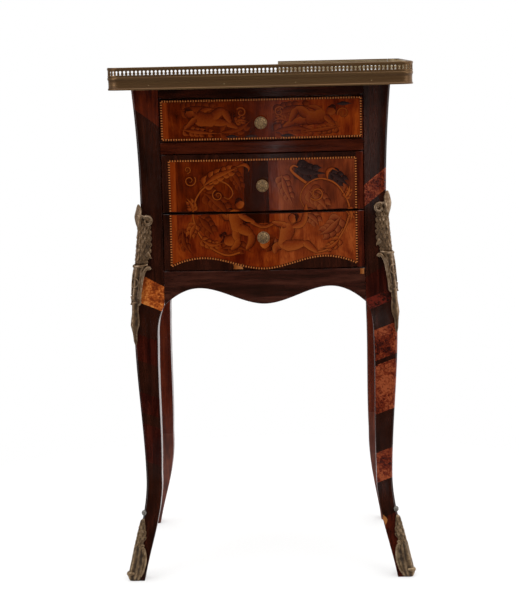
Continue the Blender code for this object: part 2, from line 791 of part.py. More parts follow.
def gallery_strip(name, samples):
    """A pierced strip that stands on the band along a run of edge samples."""
    lengths = [0.0]
    for (first, _), (second, _) in zip(samples, samples[1:]):
        lengths.append(lengths[-1] + (second - first).length)
    total = lengths[-1] - GAP
    count = max(1, round(total / GALLERY_PITCH))
    pitch = total / count
    stations = [GAP / 2]
    for i in range(count):
        middle = GAP / 2 + (i + 0.5) * pitch
        stations += [middle - GALLERY_PIERCING / 2, middle + GALLERY_PIERCING / 2]
    stations.append(GAP / 2 + total)
    low = TOP_SURFACE + GAP
    heights = (low, low + GALLERY_FOOT, OVERALL_HEIGHT - GALLERY_RIM, OVERALL_HEIGHT)

    def place(distance, depth):
        i = max(k for k in range(len(lengths) - 1) if lengths[k] <= distance)
        t = (distance - lengths[i]) / (lengths[i + 1] - lengths[i])
        point = samples[i][0].lerp(samples[i + 1][0], t)
        normal = samples[i][1].lerp(samples[i + 1][1], t).normalized()
        return point - normal * depth

    columns, rows = len(stations) - 1, len(heights) - 1
    bm = bmesh.new()
    bmesh.ops.create_grid(bm, x_segments=columns, y_segments=rows, size=1.0)
    piercings = []
    for face in bm.faces:
        middle = face.calc_center_median()
        column = int((middle.x + 1.0) / 2.0 * columns)
        row = int((middle.y + 1.0) / 2.0 * rows)
        if column % 2 == 1 and row == 1:
            piercings.append(face)
    bmesh.ops.delete(bm, geom=piercings, context="FACES_ONLY")
    spots = {}
    for vert in bm.verts:
        spots[vert] = (round((vert.co.x + 1.0) / 2.0 * columns), round((vert.co.y + 1.0) / 2.0 * rows))
    skin = bm.verts[:] + bm.edges[:] + bm.faces[:]
    copied = bmesh.ops.duplicate(bm, geom=skin)["vert_map"]
    depths = (GALLERY_SETBACK, GALLERY_SETBACK + GALLERY_THICKNESS)
    for vert, (column, row) in spots.items():
        for layer, depth in zip((vert, copied[vert]), depths):
            layer.co = (*place(stations[column], depth), heights[row])
    for edge in [edge for edge in bm.edges if edge.is_boundary]:
        if all(vert in spots for vert in edge.verts):
            first, second = edge.verts
            bm.faces.new((first, second, copied[second], copied[first]))
    add_object(name, mesh_from(bm, name), BRASS)


def gallery(runs):
    """The strips that are left: the front with its corners, the right side, and half of the rear."""
    rear_right_end = runs["rear_right"][-1]
    rear_stop = (Vector((REAR_GALLERY_END, TOP_HALF_DEPTH)), rear_right_end[1])
    gallery_strip("gallery_front", runs["front_left"] + runs["front"] + runs["front_right"])
    gallery_strip("gallery_right", [runs["front_right"][-1]] + runs["rear_right"])
    gallery_strip("gallery_rear", [rear_right_end, rear_stop])


# Drawers


def side_outline(low, high, room):
    """A drawer side in (y, z), with dovetails at its front end. room widens them into their sockets."""
    front = -FRONT_BACK_PLANE
    count = max(1, int((high - low) / DOVETAIL_PITCH))
    pitch = (high - low) / count
    outline = [(DRAWER_REAR, low), (DRAWER_REAR, high), (front, high)]
    for i in reversed(range(count)):
        middle = low + (i + 0.5) * pitch
        root = DOVETAIL_ROOT / 2 + room
        tip = root + DOVETAIL_SPLAY
        end = front - DOVETAIL_LENGTH - room
        outline += [(front, middle + root), (end, middle + tip), (end, middle - tip), (front, middle - root)]
    outline.append((front, low))
    return outline


def standing_plate(name, outline, thickness, material, x, collection=TABLE):
    """A plate drawn in (y, z) and stood up facing X."""
    piece = plate(name, outline, thickness, material, collection)
    piece.rotation_euler = Matrix(((0, 0, 1), (1, 0, 0), (0, 1, 0))).to_euler()
    piece.location.x = x
    return piece


def knob(name, face_y, z, front):
    """A turned knob on a flat seat, with its stud through the drawer front and its nut inside."""
    wall = -FRONT_BACK_PLANE - face_y
    stud_end = -(wall + NUT_THICKNESS + GAP + STUD_TAIL)
    profile = [(r * KNOB_RADIUS, h * KNOB_LENGTH) for r, h in KNOB_PROFILE]
    profile += [(KNOB_NECK_RADIUS, h * KNOB_LENGTH) for h in KNOB_NECK_SPAN]
    profile += [
        (KNOB_BASE_RADIUS, GAP + KNOB_BASE_EDGE),
        (KNOB_BASE_RADIUS, GAP),
        (STUD_RADIUS, GAP),
        (STUD_RADIUS, stud_end),
        (0.0, stud_end),
    ]
    nut_profile = (
        (NUT_RADIUS, -wall - GAP),
        (NUT_RADIUS, -wall - GAP - NUT_THICKNESS),
        (STUD_RADIUS + GAP, -wall - GAP - NUT_THICKNESS),
        (STUD_RADIUS + GAP, -wall - GAP),
    )
    bore_profile = (
        (0.0, CUTTER_OVERRUN),
        (KNOB_BASE_RADIUS + GAP, CUTTER_OVERRUN),
        (KNOB_BASE_RADIUS + GAP, 0.0),
        (STUD_RADIUS + GAP, 0.0),
        (STUD_RADIUS + GAP, -wall - CUTTER_OVERRUN),
        (0.0, -wall - CUTTER_OVERRUN),
    )
    bore = as_tool(turned(name + "_bore", bore_profile, BRASS, CUTTERS))
    pieces = [turned(name, profile, BRASS), turned(name + "_nut", nut_profile, BRASS)]
    for piece in (*pieces, bore):
        piece.location = (0.0, face_y, z)
        piece.rotation_euler.x = math.pi / 2
    boolean(front, bore, "DIFFERENCE")
    return pieces


def drawer(name, low, high, knob_height):
    front = shaped_board(
        f"{name}_front",
        DRAWER_HALF_WIDTH,
        lambda x: low + DRAWER_PLAY,
        lambda x: high - DRAWER_PLAY,
        front_face,
        -FRONT_BACK_PLANE,
        BOARD_COLUMNS,
        DRAWER_ROWS,
        MARQUETRY,
    )
    pieces = [front]
    side_low, side_high = low + GAP, high - DRAWER_SIDE_DROP
    inner = DRAWER_HALF_WIDTH - DRAWER_SIDE
    board_low = side_low + DRAWER_BOTTOM_LIFT
    board_high = board_low + DRAWER_BOTTOM
    groove_front = -FRONT_BACK_PLANE - DRAWER_GROOVE
    groove = box(
        f"{name}_groove",
        (-inner - DRAWER_GROOVE - GAP, groove_front - GAP, board_low - GAP),
        (inner + DRAWER_GROOVE + GAP, DRAWER_REAR + CUTTER_OVERRUN, board_high + GAP),
        OAK,
        0.0,
        CUTTERS,
    )
    as_tool(groove)
    boolean(front, groove, "DIFFERENCE")
    for side, hand in ((-1, "left"), (1, "right")):
        x = side * (DRAWER_HALF_WIDTH - DRAWER_SIDE / 2)
        socket_name = f"{name}_sockets_{hand}"
        socket_thickness = DRAWER_SIDE + 2 * GAP
        sockets = standing_plate(
            socket_name, side_outline(side_low, side_high, GAP), socket_thickness, OAK, x, CUTTERS
        )
        boolean(front, as_tool(sockets), "DIFFERENCE")
        board = standing_plate(
            f"{name}_side_{hand}", side_outline(side_low, side_high, 0.0), DRAWER_SIDE, OAK, x
        )
        board.location.y = GAP
        boolean(board, groove, "DIFFERENCE")
        pieces.append(board)
    pieces.append(
        box(
            f"{name}_bottom",
            (-inner - DRAWER_GROOVE, groove_front, board_low),
            (inner + DRAWER_GROOVE, DRAWER_REAR, board_high),
            OAK,
        )
    )
    pieces.append(
        box(
            f"{name}_back",
            (-inner + GAP, DRAWER_REAR - DRAWER_BACK, board_high + GAP),
            (inner - GAP, DRAWER_REAR, side_high - DRAWER_BACK_DROP),
            OAK,
        )
    )
    knob_z = low + knob_height
    pieces += knob(f"{name}_knob", front_face(0.0, knob_z), knob_z, front)
    slide = bpy.data.objects.new(f"{name}_slide", None)
    slide.location = (0.0, -FRONT_BACK_PLANE, (low + high) / 2)
    TABLE.objects.link(slide)
    for piece in pieces:
        piece.parent = slide
        piece.matrix_parent_inverse = Matrix.Translation(-slide.location)


# Assembly

front_rail("top_rail", TOP_RAIL_LOW, CASE_TOP)
front_rail("middle_rail", MIDDLE_RAIL_LOW, UPPER_DRAWER_LOW)
front_apron()
side_panel("side_panel_right", math.pi / 2)
side_panel("side_panel_left", -math.pi / 2)
back_boards()
runners()
corner_pieces()
EDGE_RUNS = edge_runs()
edge_band(EDGE_RUNS)
top_board(EDGE_RUNS)
gallery(EDGE_RUNS)
drawer("upper_drawer", UPPER_DRAWER_LOW, TOP_RAIL_LOW, UPPER_KNOB_HEIGHT)
drawer("middle_drawer", MIDDLE_DRAWER_LOW, MIDDLE_RAIL_LOW, MIDDLE_KNOB_HEIGHT)
drawer("lower_drawer", OPENING_BOTTOM, MIDDLE_DRAWER_LOW, LOWER_KNOB_HEIGHT)
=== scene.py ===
"""Looks of a small bedside table: polished veneers, marquetry and chased brass on the CAD frame.

Metres, +Z up. The front faces -Y, and +X is to the right.
"""

import math

import bmesh
import bpy
from mathutils import Matrix, Vector


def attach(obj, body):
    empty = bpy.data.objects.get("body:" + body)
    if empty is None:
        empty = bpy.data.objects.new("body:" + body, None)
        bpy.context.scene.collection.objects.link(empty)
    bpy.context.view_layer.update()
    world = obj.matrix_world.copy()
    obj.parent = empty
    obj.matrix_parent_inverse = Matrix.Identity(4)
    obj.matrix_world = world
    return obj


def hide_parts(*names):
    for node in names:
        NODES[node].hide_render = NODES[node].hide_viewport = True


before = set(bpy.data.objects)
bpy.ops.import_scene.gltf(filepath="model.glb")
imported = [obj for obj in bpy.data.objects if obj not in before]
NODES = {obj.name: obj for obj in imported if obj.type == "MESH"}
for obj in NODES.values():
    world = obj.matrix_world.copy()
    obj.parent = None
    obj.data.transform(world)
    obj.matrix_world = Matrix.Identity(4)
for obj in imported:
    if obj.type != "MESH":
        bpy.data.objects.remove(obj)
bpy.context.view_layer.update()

# Sizes shared with the CAD frame
GAP = 0.0003
DRAWER_PLAY = 0.0010
OPENING_BOTTOM = 0.4388
MIDDLE_DRAWER_LOW = 0.5185
MIDDLE_RAIL_LOW = 0.6000
UPPER_DRAWER_LOW = 0.6165
TOP_RAIL_LOW = 0.6760
CASE_TOP = 0.6894
TOP_SURFACE = 0.7074
OVERALL_HEIGHT = 0.7200
WAIST_HALF_WIDTH = 0.1700
WAIST_HALF_DEPTH = 0.1180
WAIST_HEIGHT = 0.5300
KNEE_HEIGHT = 0.3550
ANKLE_HEIGHT = 0.1400
TOP_FLARE = 0.0068
KNEE_FLARE = 0.0132
ANKLE_FLARE = 0.0046
TOE_FLARE = 0.0305
REAR_TUCK = 0.0080
STILE_WIDTH = 0.0302
KNEE_WIDTH = 0.0324
ANKLE_WIDTH = 0.0225
FOOT_WIDTH = 0.0215
SLIM_TOP = 0.1500
SLIM_BOTTOM = 0.0900
BRACKET_BOTTOM = 0.3380
BRACKET_TOP = 0.3915
POST_ROUND = 0.0040
FRONT_BOW = 0.0080
RAIL_THICKNESS = 0.0180
SIDE_THICKNESS = 0.0120
APRON_CENTRE = 0.3925
APRON_PEAK = 0.4150
APRON_PEAK_AT = 0.0900
SIDE_CENTRE = 0.4000
SIDE_PEAK = 0.4130
SIDE_PEAK_AT = 0.0550
TOP_HALF_WIDTH = 0.2073
TOP_HALF_DEPTH = 0.1563
TOP_CORNER = 0.0180
TOP_BOW = 0.0080
BAND_THICKNESS = 0.0030
REAR_GALLERY_END = 0.0220
MOUNT_STEP = 0.0120
KNOB_HEIGHTS = {"upper": 0.6418, "middle": 0.5560, "lower": 0.4850}
OPENING_HALF_WIDTH = WAIST_HALF_WIDTH - STILE_WIDTH
SIDE_HALF_LENGTH = WAIST_HALF_DEPTH - STILE_WIDTH
FRONT_BACK_PLANE = WAIST_HALF_DEPTH - RAIL_THICKNESS
SIDE_INNER_PLANE = WAIST_HALF_WIDTH - SIDE_THICKNESS
DRAWER_HALF_WIDTH = OPENING_HALF_WIDTH - DRAWER_PLAY
CORNERS = {
    "front_left": (-1, -1),
    "front_right": (1, -1),
    "rear_left": (-1, 1),
    "rear_right": (1, 1),
}

# Edges, inlays and fine mesh
EDGE_ROUND = 0.0007
INLAY_SINK = 0.0002
INLAY_RISE = 0.00010
LEG_SLANT = 0.36  # fall of the veneer joints across a leg, as a slope
STILE_SLANT = 0.80  # the same on the posts beside the drawers
UPRIGHT_FOOT = 0.06  # the joints lose their slant over this height above the floor
UPRIGHT_TOP = 0.03  # and over this height below the top
SLANT_CHANGE = 0.10  # height above the legs over which the slant changes
STRING_WIDTH = 0.0032
STRING_PITCH = 0.0036  # the real cells are 2.9 mm apart; they are a little coarser here so that they show


# Shapes shared with the CAD frame


def ease(t):
    t = min(1.0, max(0.0, t))
    return t * t * (3.0 - 2.0 * t)


def flare(z):
    """How far the outer faces stand out from the waist at a height."""
    if z >= WAIST_HEIGHT:
        t = (z - WAIST_HEIGHT) / (CASE_TOP - WAIST_HEIGHT)
        return TOP_FLARE * t * t
    if z >= KNEE_HEIGHT:
        return KNEE_FLARE * ease((WAIST_HEIGHT - z) / (WAIST_HEIGHT - KNEE_HEIGHT))
    if z >= ANKLE_HEIGHT:
        t = ease((KNEE_HEIGHT - z) / (KNEE_HEIGHT - ANKLE_HEIGHT))
        return KNEE_FLARE + (ANKLE_FLARE - KNEE_FLARE) * t
    t = (ANKLE_HEIGHT - z) / ANKLE_HEIGHT
    return ANKLE_FLARE + (TOE_FLARE - ANKLE_FLARE) * t * t * (2.0 - t)


def tuck(z, signs):
    """How far the right rear leg lies inside the line of the others at a height below the ankle."""
    t = max(0.0, (ANKLE_HEIGHT - z) / ANKLE_HEIGHT)
    return REAR_TUCK * t * t * (2.0 - t) if signs == (1, 1) else 0.0


def leg_width(z):
    if z >= SLIM_TOP:
        return ANKLE_WIDTH + (KNEE_WIDTH - ANKLE_WIDTH) * (z - SLIM_TOP) / (BRACKET_BOTTOM - SLIM_TOP)
    if z >= SLIM_BOTTOM:
        return ANKLE_WIDTH
    return ANKLE_WIDTH + (FOOT_WIDTH - ANKLE_WIDTH) * ease((SLIM_BOTTOM - z) / SLIM_BOTTOM)


def inset(z):
    """How far the inner faces of a post or leg lie inside the waist at a height."""
    if z >= BRACKET_TOP:
        return STILE_WIDTH
    if z <= BRACKET_BOTTOM:
        return leg_width(z) - flare(z)
    leg_inset = KNEE_WIDTH - flare(BRACKET_BOTTOM)
    t = (z - BRACKET_BOTTOM) / (BRACKET_TOP - BRACKET_BOTTOM)
    return leg_inset + (STILE_WIDTH - leg_inset) * t**3


def serpentine(x, half, centre, peak, peak_at, end=BRACKET_TOP):
    """Height of a wavy lower edge: a drop at the centre, a peak each side, and down again to its ends."""
    x = abs(x)
    if x <= peak_at:
        return centre + (peak - centre) * ease(x / peak_at)
    t = (x - peak_at) / (half - peak_at)
    return peak + (end - peak) * t * t


def front_face(x, z):
    """The swelling front of the rails, drawers and apron."""
    swell = FRONT_BOW * (1.0 - (x / OPENING_HALF_WIDTH) ** 2)
    return -(WAIST_HALF_DEPTH + flare(z) + swell)


def side_face(x, z):
    return -(WAIST_HALF_WIDTH + flare(z))


def top_front(x):
    """The bowed front edge of the top."""
    return -(TOP_HALF_DEPTH - TOP_BOW * (x / (TOP_HALF_WIDTH - TOP_CORNER)) ** 2)


# Colours and nodes


def srgb(code):
    """A hex colour as linear red, green, blue and alpha."""
    values = [int(code[i : i + 2], 16) / 255.0 for i in (0, 2, 4)]
    return (*[v / 12.92 if v <= 0.04045 else ((v + 0.055) / 1.055) ** 2.4 for v in values], 1.0)


def add_node(tree, kind, inputs=None, out=None, stops=None, **settings):
    """Adds a node, with its inputs given as values or as outputs to link, and returns one of its outputs."""
    node = tree.nodes.new("ShaderNode" + kind)
    for name, value in settings.items():
        setattr(node, name, value)
    for name, value in (inputs or {}).items():
        socket = next(s for s in node.inputs if s.enabled and name in (s.identifier, s.name))
        if isinstance(value, bpy.types.NodeSocket):
            tree.links.new(value, socket)
        else:
            socket.default_value = value
    if stops:
        ramp = node.color_ramp.elements
        while len(ramp) < len(stops):
            ramp.new(1.0)
        for element, (place, colour) in zip(ramp, stops):
            element.position = place
            element.color = srgb(colour)
    if out:
        return node.outputs[out]
    return next((s for s in node.outputs if s.enabled), node)


def span(low, high, first, last):
    """Inputs that turn a value between low and high into one between first and last."""
    return {"From Min": low, "From Max": high, "To Min": first, "To Max": last}


def new_material(name):
    """A material, its empty tree of nodes, and the object's own coordinates in that tree."""
    material = bpy.data.materials.new(name)
    material.use_nodes = True
    tree = material.node_tree
    tree.nodes.clear()
    return material, tree, add_node(tree, "TexCoord", out="Object")


def close_material(tree, **inputs):
    """The shader and the output. Its sockets are named with underscores for spaces."""
    named = {name.replace("_", " "): value for name, value in inputs.items()}
    shader = add_node(tree, "BsdfPrincipled", named)
    add_node(tree, "OutputMaterial", {"Surface": shader})


def grain_scale(grain, along, across):
    """Scales for a grain that runs along one axis: its features are that long and that wide."""
    return tuple(1.0 / along if axis == grain else 1.0 / across for axis in "xyz")


def polished_veneer(
    name, dark, mid, light, grain, roughness=(0.09, 0.19), figure=0.007, length=0.11, clouds=0.2
):
    """French-polished veneer: a long soft figure, broad clouds, fine dark pores, and worn shellac."""
    material, tree, place = new_material(name)
    long = add_node(tree, "Mapping", {"Vector": place, "Scale": grain_scale(grain, length, figure)})
    wave = add_node(tree, "TexNoise", {"Vector": long, "Scale": 1.0, "Detail": 5.0, "Distortion": 0.6}, "Fac")
    broad = {"Vector": place, "Scale": 26.0, "Detail": 3.0, "Distortion": 0.8}
    cloud = add_node(tree, "TexNoise", broad, "Fac")
    tone = add_node(tree, "Mix", {"Factor_Float": clouds, "A_Float": wave, "B_Float": cloud})
    colour = add_node(tree, "ValToRGB", {"Fac": tone}, "Color", [(0.36, dark), (0.51, mid), (0.66, light)])
    # Real pores are a fifth of a millimetre wide; they are drawn four times as coarse so that they show.
    short = add_node(tree, "Mapping", {"Vector": place, "Scale": grain_scale(grain, 0.014, 0.0008)})
    pore = add_node(tree, "TexNoise", {"Vector": short, "Scale": 1.0, "Detail": 2.0}, "Fac")
    pore = add_node(tree, "MapRange", {"Value": pore, **span(0.50, 0.66, 0.0, 0.55)})
    darker = {"Factor_Float": pore, "A_Color": colour, "B_Color": srgb(dark)}
    colour = add_node(tree, "Mix", darker, data_type="RGBA")
    wear = add_node(tree, "TexNoise", {"Vector": place, "Scale": 45.0, "Detail": 4.0}, "Fac")
    wear = add_node(tree, "MapRange", {"Value": wear, **span(0.35, 0.70, *roughness)})
    bump = add_node(tree, "Bump", {"Height": pore, "Strength": 0.12, "Distance": 0.0002}, invert=True)
    close_material(tree, Base_Color=colour, Roughness=wear, IOR=1.50, Normal=bump)
    return material


def burl_veneer(name, dark, mid, light):
    """Burl: fine mottles under clouds of dark and light, and small dark eyes, in the same worn shellac."""
    material, tree, place = new_material(name)
    cloud = add_node(tree, "TexNoise", {"Vector": place, "Scale": 42.0, "Detail": 2.0}, "Fac")
    mottle = {"Vector": place, "Scale": 240.0, "Detail": 4.0, "Distortion": 1.2}
    swirl = add_node(tree, "TexNoise", mottle, "Fac")
    tone = add_node(tree, "Mix", {"Factor_Float": 0.45, "A_Float": swirl, "B_Float": cloud})
    colour = add_node(tree, "ValToRGB", {"Fac": tone}, "Color", [(0.38, dark), (0.49, mid), (0.60, light)])
    eyes = add_node(tree, "TexVoronoi", {"Vector": place, "Scale": 190.0, "Randomness": 1.0}, "Distance")
    eyes = add_node(tree, "MapRange", {"Value": eyes, **span(0.08, 0.26, 0.8, 0.0)})
    darker = {"Factor_Float": eyes, "A_Color": colour, "B_Color": srgb(dark)}
    colour = add_node(tree, "Mix", darker, data_type="RGBA")
    wear = add_node(tree, "MapRange", {"Value": swirl, **span(0.3, 0.7, 0.24, 0.14)})
    bump = add_node(tree, "Bump", {"Height": swirl, "Strength": 0.08, "Distance": 0.0002})
    close_material(tree, Base_Color=colour, Roughness=wear, IOR=1.50, Normal=bump)
    return material


def shaded_inlay(name, dark, mid, light):
    """Marquetry wood, scorched in hot sand along one edge of each piece, which gives it its modelling."""
    material, tree, place = new_material(name)
    scorch = add_node(tree, "Attribute", out="Fac", attribute_name="shade")
    fleck = add_node(tree, "TexNoise", {"Vector": place, "Scale": 420.0, "Detail": 3.0}, "Fac")
    blend = {"Value": fleck, "Value_001": 0.45, "Value_002": scorch}
    tone = add_node(tree, "Math", blend, operation="MULTIPLY_ADD")
    colour = add_node(tree, "ValToRGB", {"Fac": tone}, "Color", [(0.24, dark), (0.55, mid), (1.0, light)])
    wear = add_node(tree, "MapRange", {"Value": fleck, **span(0.3, 0.7, 0.13, 0.24)})
    close_material(tree, Base_Color=colour, Roughness=wear, IOR=1.50)
    return material


def aged_brass(name, hollow, mid, bright, roughness, stains=(190.0, 190.0, 190.0)):
    """Brass gone olive-brown: rubbed bright on top, with dull old wax and dirt in the hollows. The hollow
    mark darkens grooves, gaps and undersides, partly for that wax and dirt and partly as painted shade, and
    the raised parts left bright are partly painted highlight.
    """
    material, tree, place = new_material(name)
    depth = add_node(tree, "Attribute", out="Fac", attribute_name="hollow")
    spots = add_node(tree, "Mapping", {"Vector": place, "Scale": stains})
    spotted = {"Vector": spots, "Scale": 1.0, "Detail": 4.0, "Roughness": 0.60}
    stain = add_node(tree, "TexNoise", spotted, "Fac")
    # Painted shade: the hollow mark darkens the colour here, partly for old wax and dirt, partly for shade in
    # the recesses
    blend = {"Value": depth, "Value_001": -0.46, "Value_002": stain}
    tone = add_node(tree, "Math", blend, operation="MULTIPLY_ADD")
    colour = add_node(tree, "ValToRGB", {"Fac": tone}, "Color", [(0.06, hollow), (0.40, mid), (0.62, bright)])
    rough = add_node(tree, "MapRange", {"Value": tone, **span(0.0, 0.65, *roughness[::-1])})
    metal = add_node(tree, "MapRange", {"Value": tone, **span(0.1, 0.6, 0.25, 0.75)})
    pits = add_node(tree, "TexNoise", {"Vector": place, "Scale": 1400.0, "Detail": 2.0}, "Fac")
    bump = add_node(tree, "Bump", {"Height": pits, "Strength": 0.15, "Distance": 0.0002})
    close_material(tree, Base_Color=colour, Metallic=metal, Roughness=rough, Normal=bump)
    return material


def planed_oak(name, dark, mid, light, grain):
    """Unpolished oak from the plane: straight grain, open pores and a dry surface."""
    material, tree, place = new_material(name)
    long = add_node(tree, "Mapping", {"Vector": place, "Scale": grain_scale(grain, 0.16, 0.005)})
    wave = add_node(tree, "TexNoise", {"Vector": long, "Scale": 1.0, "Detail": 6.0, "Distortion": 0.3}, "Fac")
    colour = add_node(tree, "ValToRGB", {"Fac": wave}, "Color", [(0.32, dark), (0.50, mid), (0.70, light)])
    short = add_node(tree, "Mapping", {"Vector": place, "Scale": grain_scale(grain, 0.010, 0.0007)})
    pore = add_node(tree, "TexNoise", {"Vector": short, "Scale": 1.0, "Detail": 1.0}, "Fac")
    pore = add_node(tree, "MapRange", {"Value": pore, **span(0.54, 0.68, 0.0, 0.6)})
    darker = {"Factor_Float": pore, "A_Color": colour, "B_Color": srgb(dark)}
    colour = add_node(tree, "Mix", darker, data_type="RGBA")
    rough = add_node(tree, "MapRange", {"Value": wave, **span(0.3, 0.7, 0.62, 0.50)})
    bump = add_node(tree, "Bump", {"Height": pore, "Strength": 0.30, "Distance": 0.0003}, invert=True)
    close_material(tree, Base_Color=colour, Roughness=rough, IOR=1.50, Normal=bump)
    return material


# Finishes


def ground_veneer(tone, *colours):
    """The drawers' ground, a broadly clouded tulipwood in several tones."""
    return polished_veneer(f"tulipwood_ground_french_polished{tone}", *colours, "z", length=0.05, clouds=0.6)


ROSEWOOD_UPRIGHT = polished_veneer("rosewood_french_polished_upright", "1c0b06", "2b120a", "38180e", "z")
ROSEWOOD_ACROSS = polished_veneer("rosewood_french_polished_across", "1a0a05", "2b1109", "3e180d", "x")
ROSEWOOD_APRON = polished_veneer("rosewood_french_polished_apron", "22100a", "341811", "48261c", "x")
ROSEWOOD_TOP = polished_veneer(
    "rosewood_french_polished_top", "1a0a06", "32150d", "4a2215", "x", (0.04, 0.10), figure=0.010
)
ROSEWOOD_SIDE = polished_veneer(
    "rosewood_french_polished_side", "180a06", "29120b", "3a1a10", "z", figure=0.010
)
MAHOGANY_RED = polished_veneer("mahogany_french_polished_red", "290c06", "45170b", "60230f", "z")
# A dark red veneer, and also painted shade: on the left leg it stands for the burl bands in shade
MAHOGANY_DARK_AND_SHADE = polished_veneer("mahogany_french_polished_dark_and_painted_shade", "1e0704", "330f08", "46170d", "z")
MAHOGANY_RAIL = polished_veneer("mahogany_french_polished_rail", "2a0c05", "3d1509", "4a1c0d", "x")
MAHOGANY_PLAIN = polished_veneer("mahogany_polished_plain", "3a1208", "541e0f", "682b16", "z", (0.18, 0.30))
MAHOGANY_FADED = polished_veneer("mahogany_polished_faded", "42180c", "602a18", "763a26", "z", (0.28, 0.45))
BURL = burl_veneer("thuya_burl_french_polished", "6e2b0e", "aa521e", "d48440")
BURL_RED = burl_veneer("thuya_burl_french_polished_red", "2e0a05", "66220f", "964a2a")
BURL_DARK = burl_veneer("thuya_burl_french_polished_dark", "170603", "2c0d07", "641f14")
GROUND = ground_veneer("", "360d01", "581a03", "722a07")
GROUND_WARM = ground_veneer("_warm", "460f02", "6e2407", "8c3a0e")
GROUND_PALE = ground_veneer("_pale", "4a1d0e", "6e2e15", "884020")
GROUND_LIGHT = ground_veneer("_light", "581d0a", "823613", "a04e20")
GROUND_DARK = polished_veneer(
    "tulipwood_heart_french_polished", "200600", "2e0b01", "401303", "z", clouds=0.4
)
GROUND_STRIP = polished_veneer("tulipwood_strip_french_polished", "682104", "7e300a", "903e12", "z")
INLAY_LIGHT = shaded_inlay("sycamore_inlay_sand_shaded", "421101", "6b2707", "853c0f")
INLAY_QUIET = shaded_inlay("sycamore_inlay_sand_shaded_browned", "3b0f02", "5f2006", "76310b")
INLAY_WARM = shaded_inlay("satinwood_inlay_sand_shaded", "6a2507", "914012", "a8541d")
INLAY_DIM = shaded_inlay("walnut_inlay_sand_shaded", "340d02", "531903", "662506")
INLAY_MILD = shaded_inlay("walnut_inlay_sand_shaded_pale", "471a0b", "6c2c13", "82401f")
INLAY_PALE = shaded_inlay("sycamore_inlay_sand_shaded_pale", "541d08", "772f0f", "8c4318")
INLAY_DARK = shaded_inlay("ebony_inlay_polished", "170c0a", "261614", "32211e")
INLAY_LINE = shaded_inlay("scorched_line_polished", "200702", "2c0b03", "380f04")
STRING_LIGHT = shaded_inlay("boxwood_stringing_polished", "84431d", "a35c2b", "bb733d")
BARE_WOOD = shaded_inlay("bare_pine_under_lost_veneer", "60300f", "84481f", "9c6234")
BRASS_CAST = aged_brass("brass_cast_chased_aged", "38240f", "7a5d40", "b09478", (0.30, 0.56))
BRASS_DULL = aged_brass("brass_cast_chased_dull", "34230f", "755c40", "aa9070", (0.34, 0.60))
LONG_STAINS = (9.0, 9.0, 520.0)  # drawn out along the strip
BRASS_ROLLED = aged_brass("brass_rolled_aged", "48301a", "6c4d2e", "886845", (0.30, 0.48), LONG_STAINS)
# Painted light: a pale brass for the gallery strips' inner faces, which stands in for light falling on them
BRASS_INSIDE_PAINTED_LIGHT = aged_brass("brass_rolled_painted_light", "a2875c", "d2b98d", "eedab2", (0.40, 0.55), LONG_STAINS)
BRASS_TURNED = aged_brass("brass_turned_handled", "4a331b", "8e6e48", "bd9e72", (0.34, 0.52))
STEEL = aged_brass("steel_nail_darkened", "3c3a37", "6a6660", "8e8982", (0.35, 0.50))
OAK_ALONG = planed_oak("oak_planed_along_depth", "5f4326", "86653c", "a0804f", "y")
OAK_ACROSS = planed_oak("oak_planed_across_width", "5c4124", "82623b", "9c7c4c", "x")


# Small tools for meshes


def between(stops, t):
    """The value at a share t between (share, value) stops."""
    for (low, first), (high, second) in zip(stops, stops[1:]):
        if t <= high:
            return first + (second - first) * (t - low) / (high - low)
    return stops[-1][1]


def spread(low, high, count):
    return [low + (high - low) * i / count for i in range(count + 1)]


def smooth_path(points, steps):
    """A smooth curve through points, with that many steps between each two."""
    knots = [Vector(p) for p in points]
    knots = [2.0 * knots[0] - knots[1]] + knots + [2.0 * knots[-1] - knots[-2]]
    path = []
    for a, b, c, d in zip(knots, knots[1:], knots[2:], knots[3:]):
        for i in range(steps):
            t = i / steps
            bend = (2.0 * a - 5.0 * b + 4.0 * c - d) * t * t + (3.0 * b - a - 3.0 * c + d) * t**3
            path.append(0.5 * (2.0 * b + (c - a) * t + bend))
    path.append(knots[-2].copy())
    return path


def distances(points):
    """How far along a line each of its points lies."""
    lengths = [0.0]
    for a, b in zip(points, points[1:]):
        lengths.append(lengths[-1] + (b - a).length)
    return lengths


def locate(lengths, distance):
    """Which stretch of a line a distance along it falls in, and the share of that stretch before it."""
    k = max(n for n in range(len(lengths) - 1) if lengths[n] <= distance + 1e-9)
    return k, (distance - lengths[k]) / (lengths[k + 1] - lengths[k])


def new_shape():
    bm = bmesh.new()
    bm.verts.layers.float.new("shade")
    bm.verts.layers.float.new("hollow")
    return bm


def skin(bm, rings, finish=None, caps=True, closed=True, marks=None, looped=False):
    """Joins rings of points, closed with caps at both ends or looped back to the first.

    finish gives a face its material by ring and place, and marks gives a point its (layer, value).
    """
    loops = []
    for row, ring in enumerate(rings):
        loop = []
        for column, point in enumerate(ring):
            vert = bm.verts.new(point)
            if marks:
                layer, value = marks(row, column)
                vert[bm.verts.layers.float[layer]] = value
            loop.append(vert)
        loops.append(loop)
    pairs = list(zip(loops, loops[1:]))
    if looped:
        pairs.append((loops[-1], loops[0]))
    for row, (first, second) in enumerate(pairs):
        count = len(first)
        for i in range(count if closed else count - 1):
            j = (i + 1) % count
            face = bm.faces.new((first[i], first[j], second[j], second[i]))
            if finish:
                face.material_index = finish(row, i)
    if caps and not looped:
        bm.faces.new(loops[0])
        bm.faces.new(loops[-1][::-1])
    return loops


def piece(name, bm, materials, body, replaced=(), sharp=38.0):
    """The finished object: it rides on a body, takes its finishes, and stands for CAD nodes."""
    bmesh.ops.recalc_face_normals(bm, faces=bm.faces)
    mesh = bpy.data.meshes.new(name)
    bm.to_mesh(mesh)
    bm.free()
    for material in materials:
        mesh.materials.append(material)
    mesh.shade_smooth()
    mesh.set_sharp_from_angle(angle=math.radians(sharp))
    made = bpy.data.objects.new(name, mesh)
    bpy.context.scene.collection.objects.link(made)
    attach(made, body)
    if replaced:
        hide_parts(*replaced)
    return made


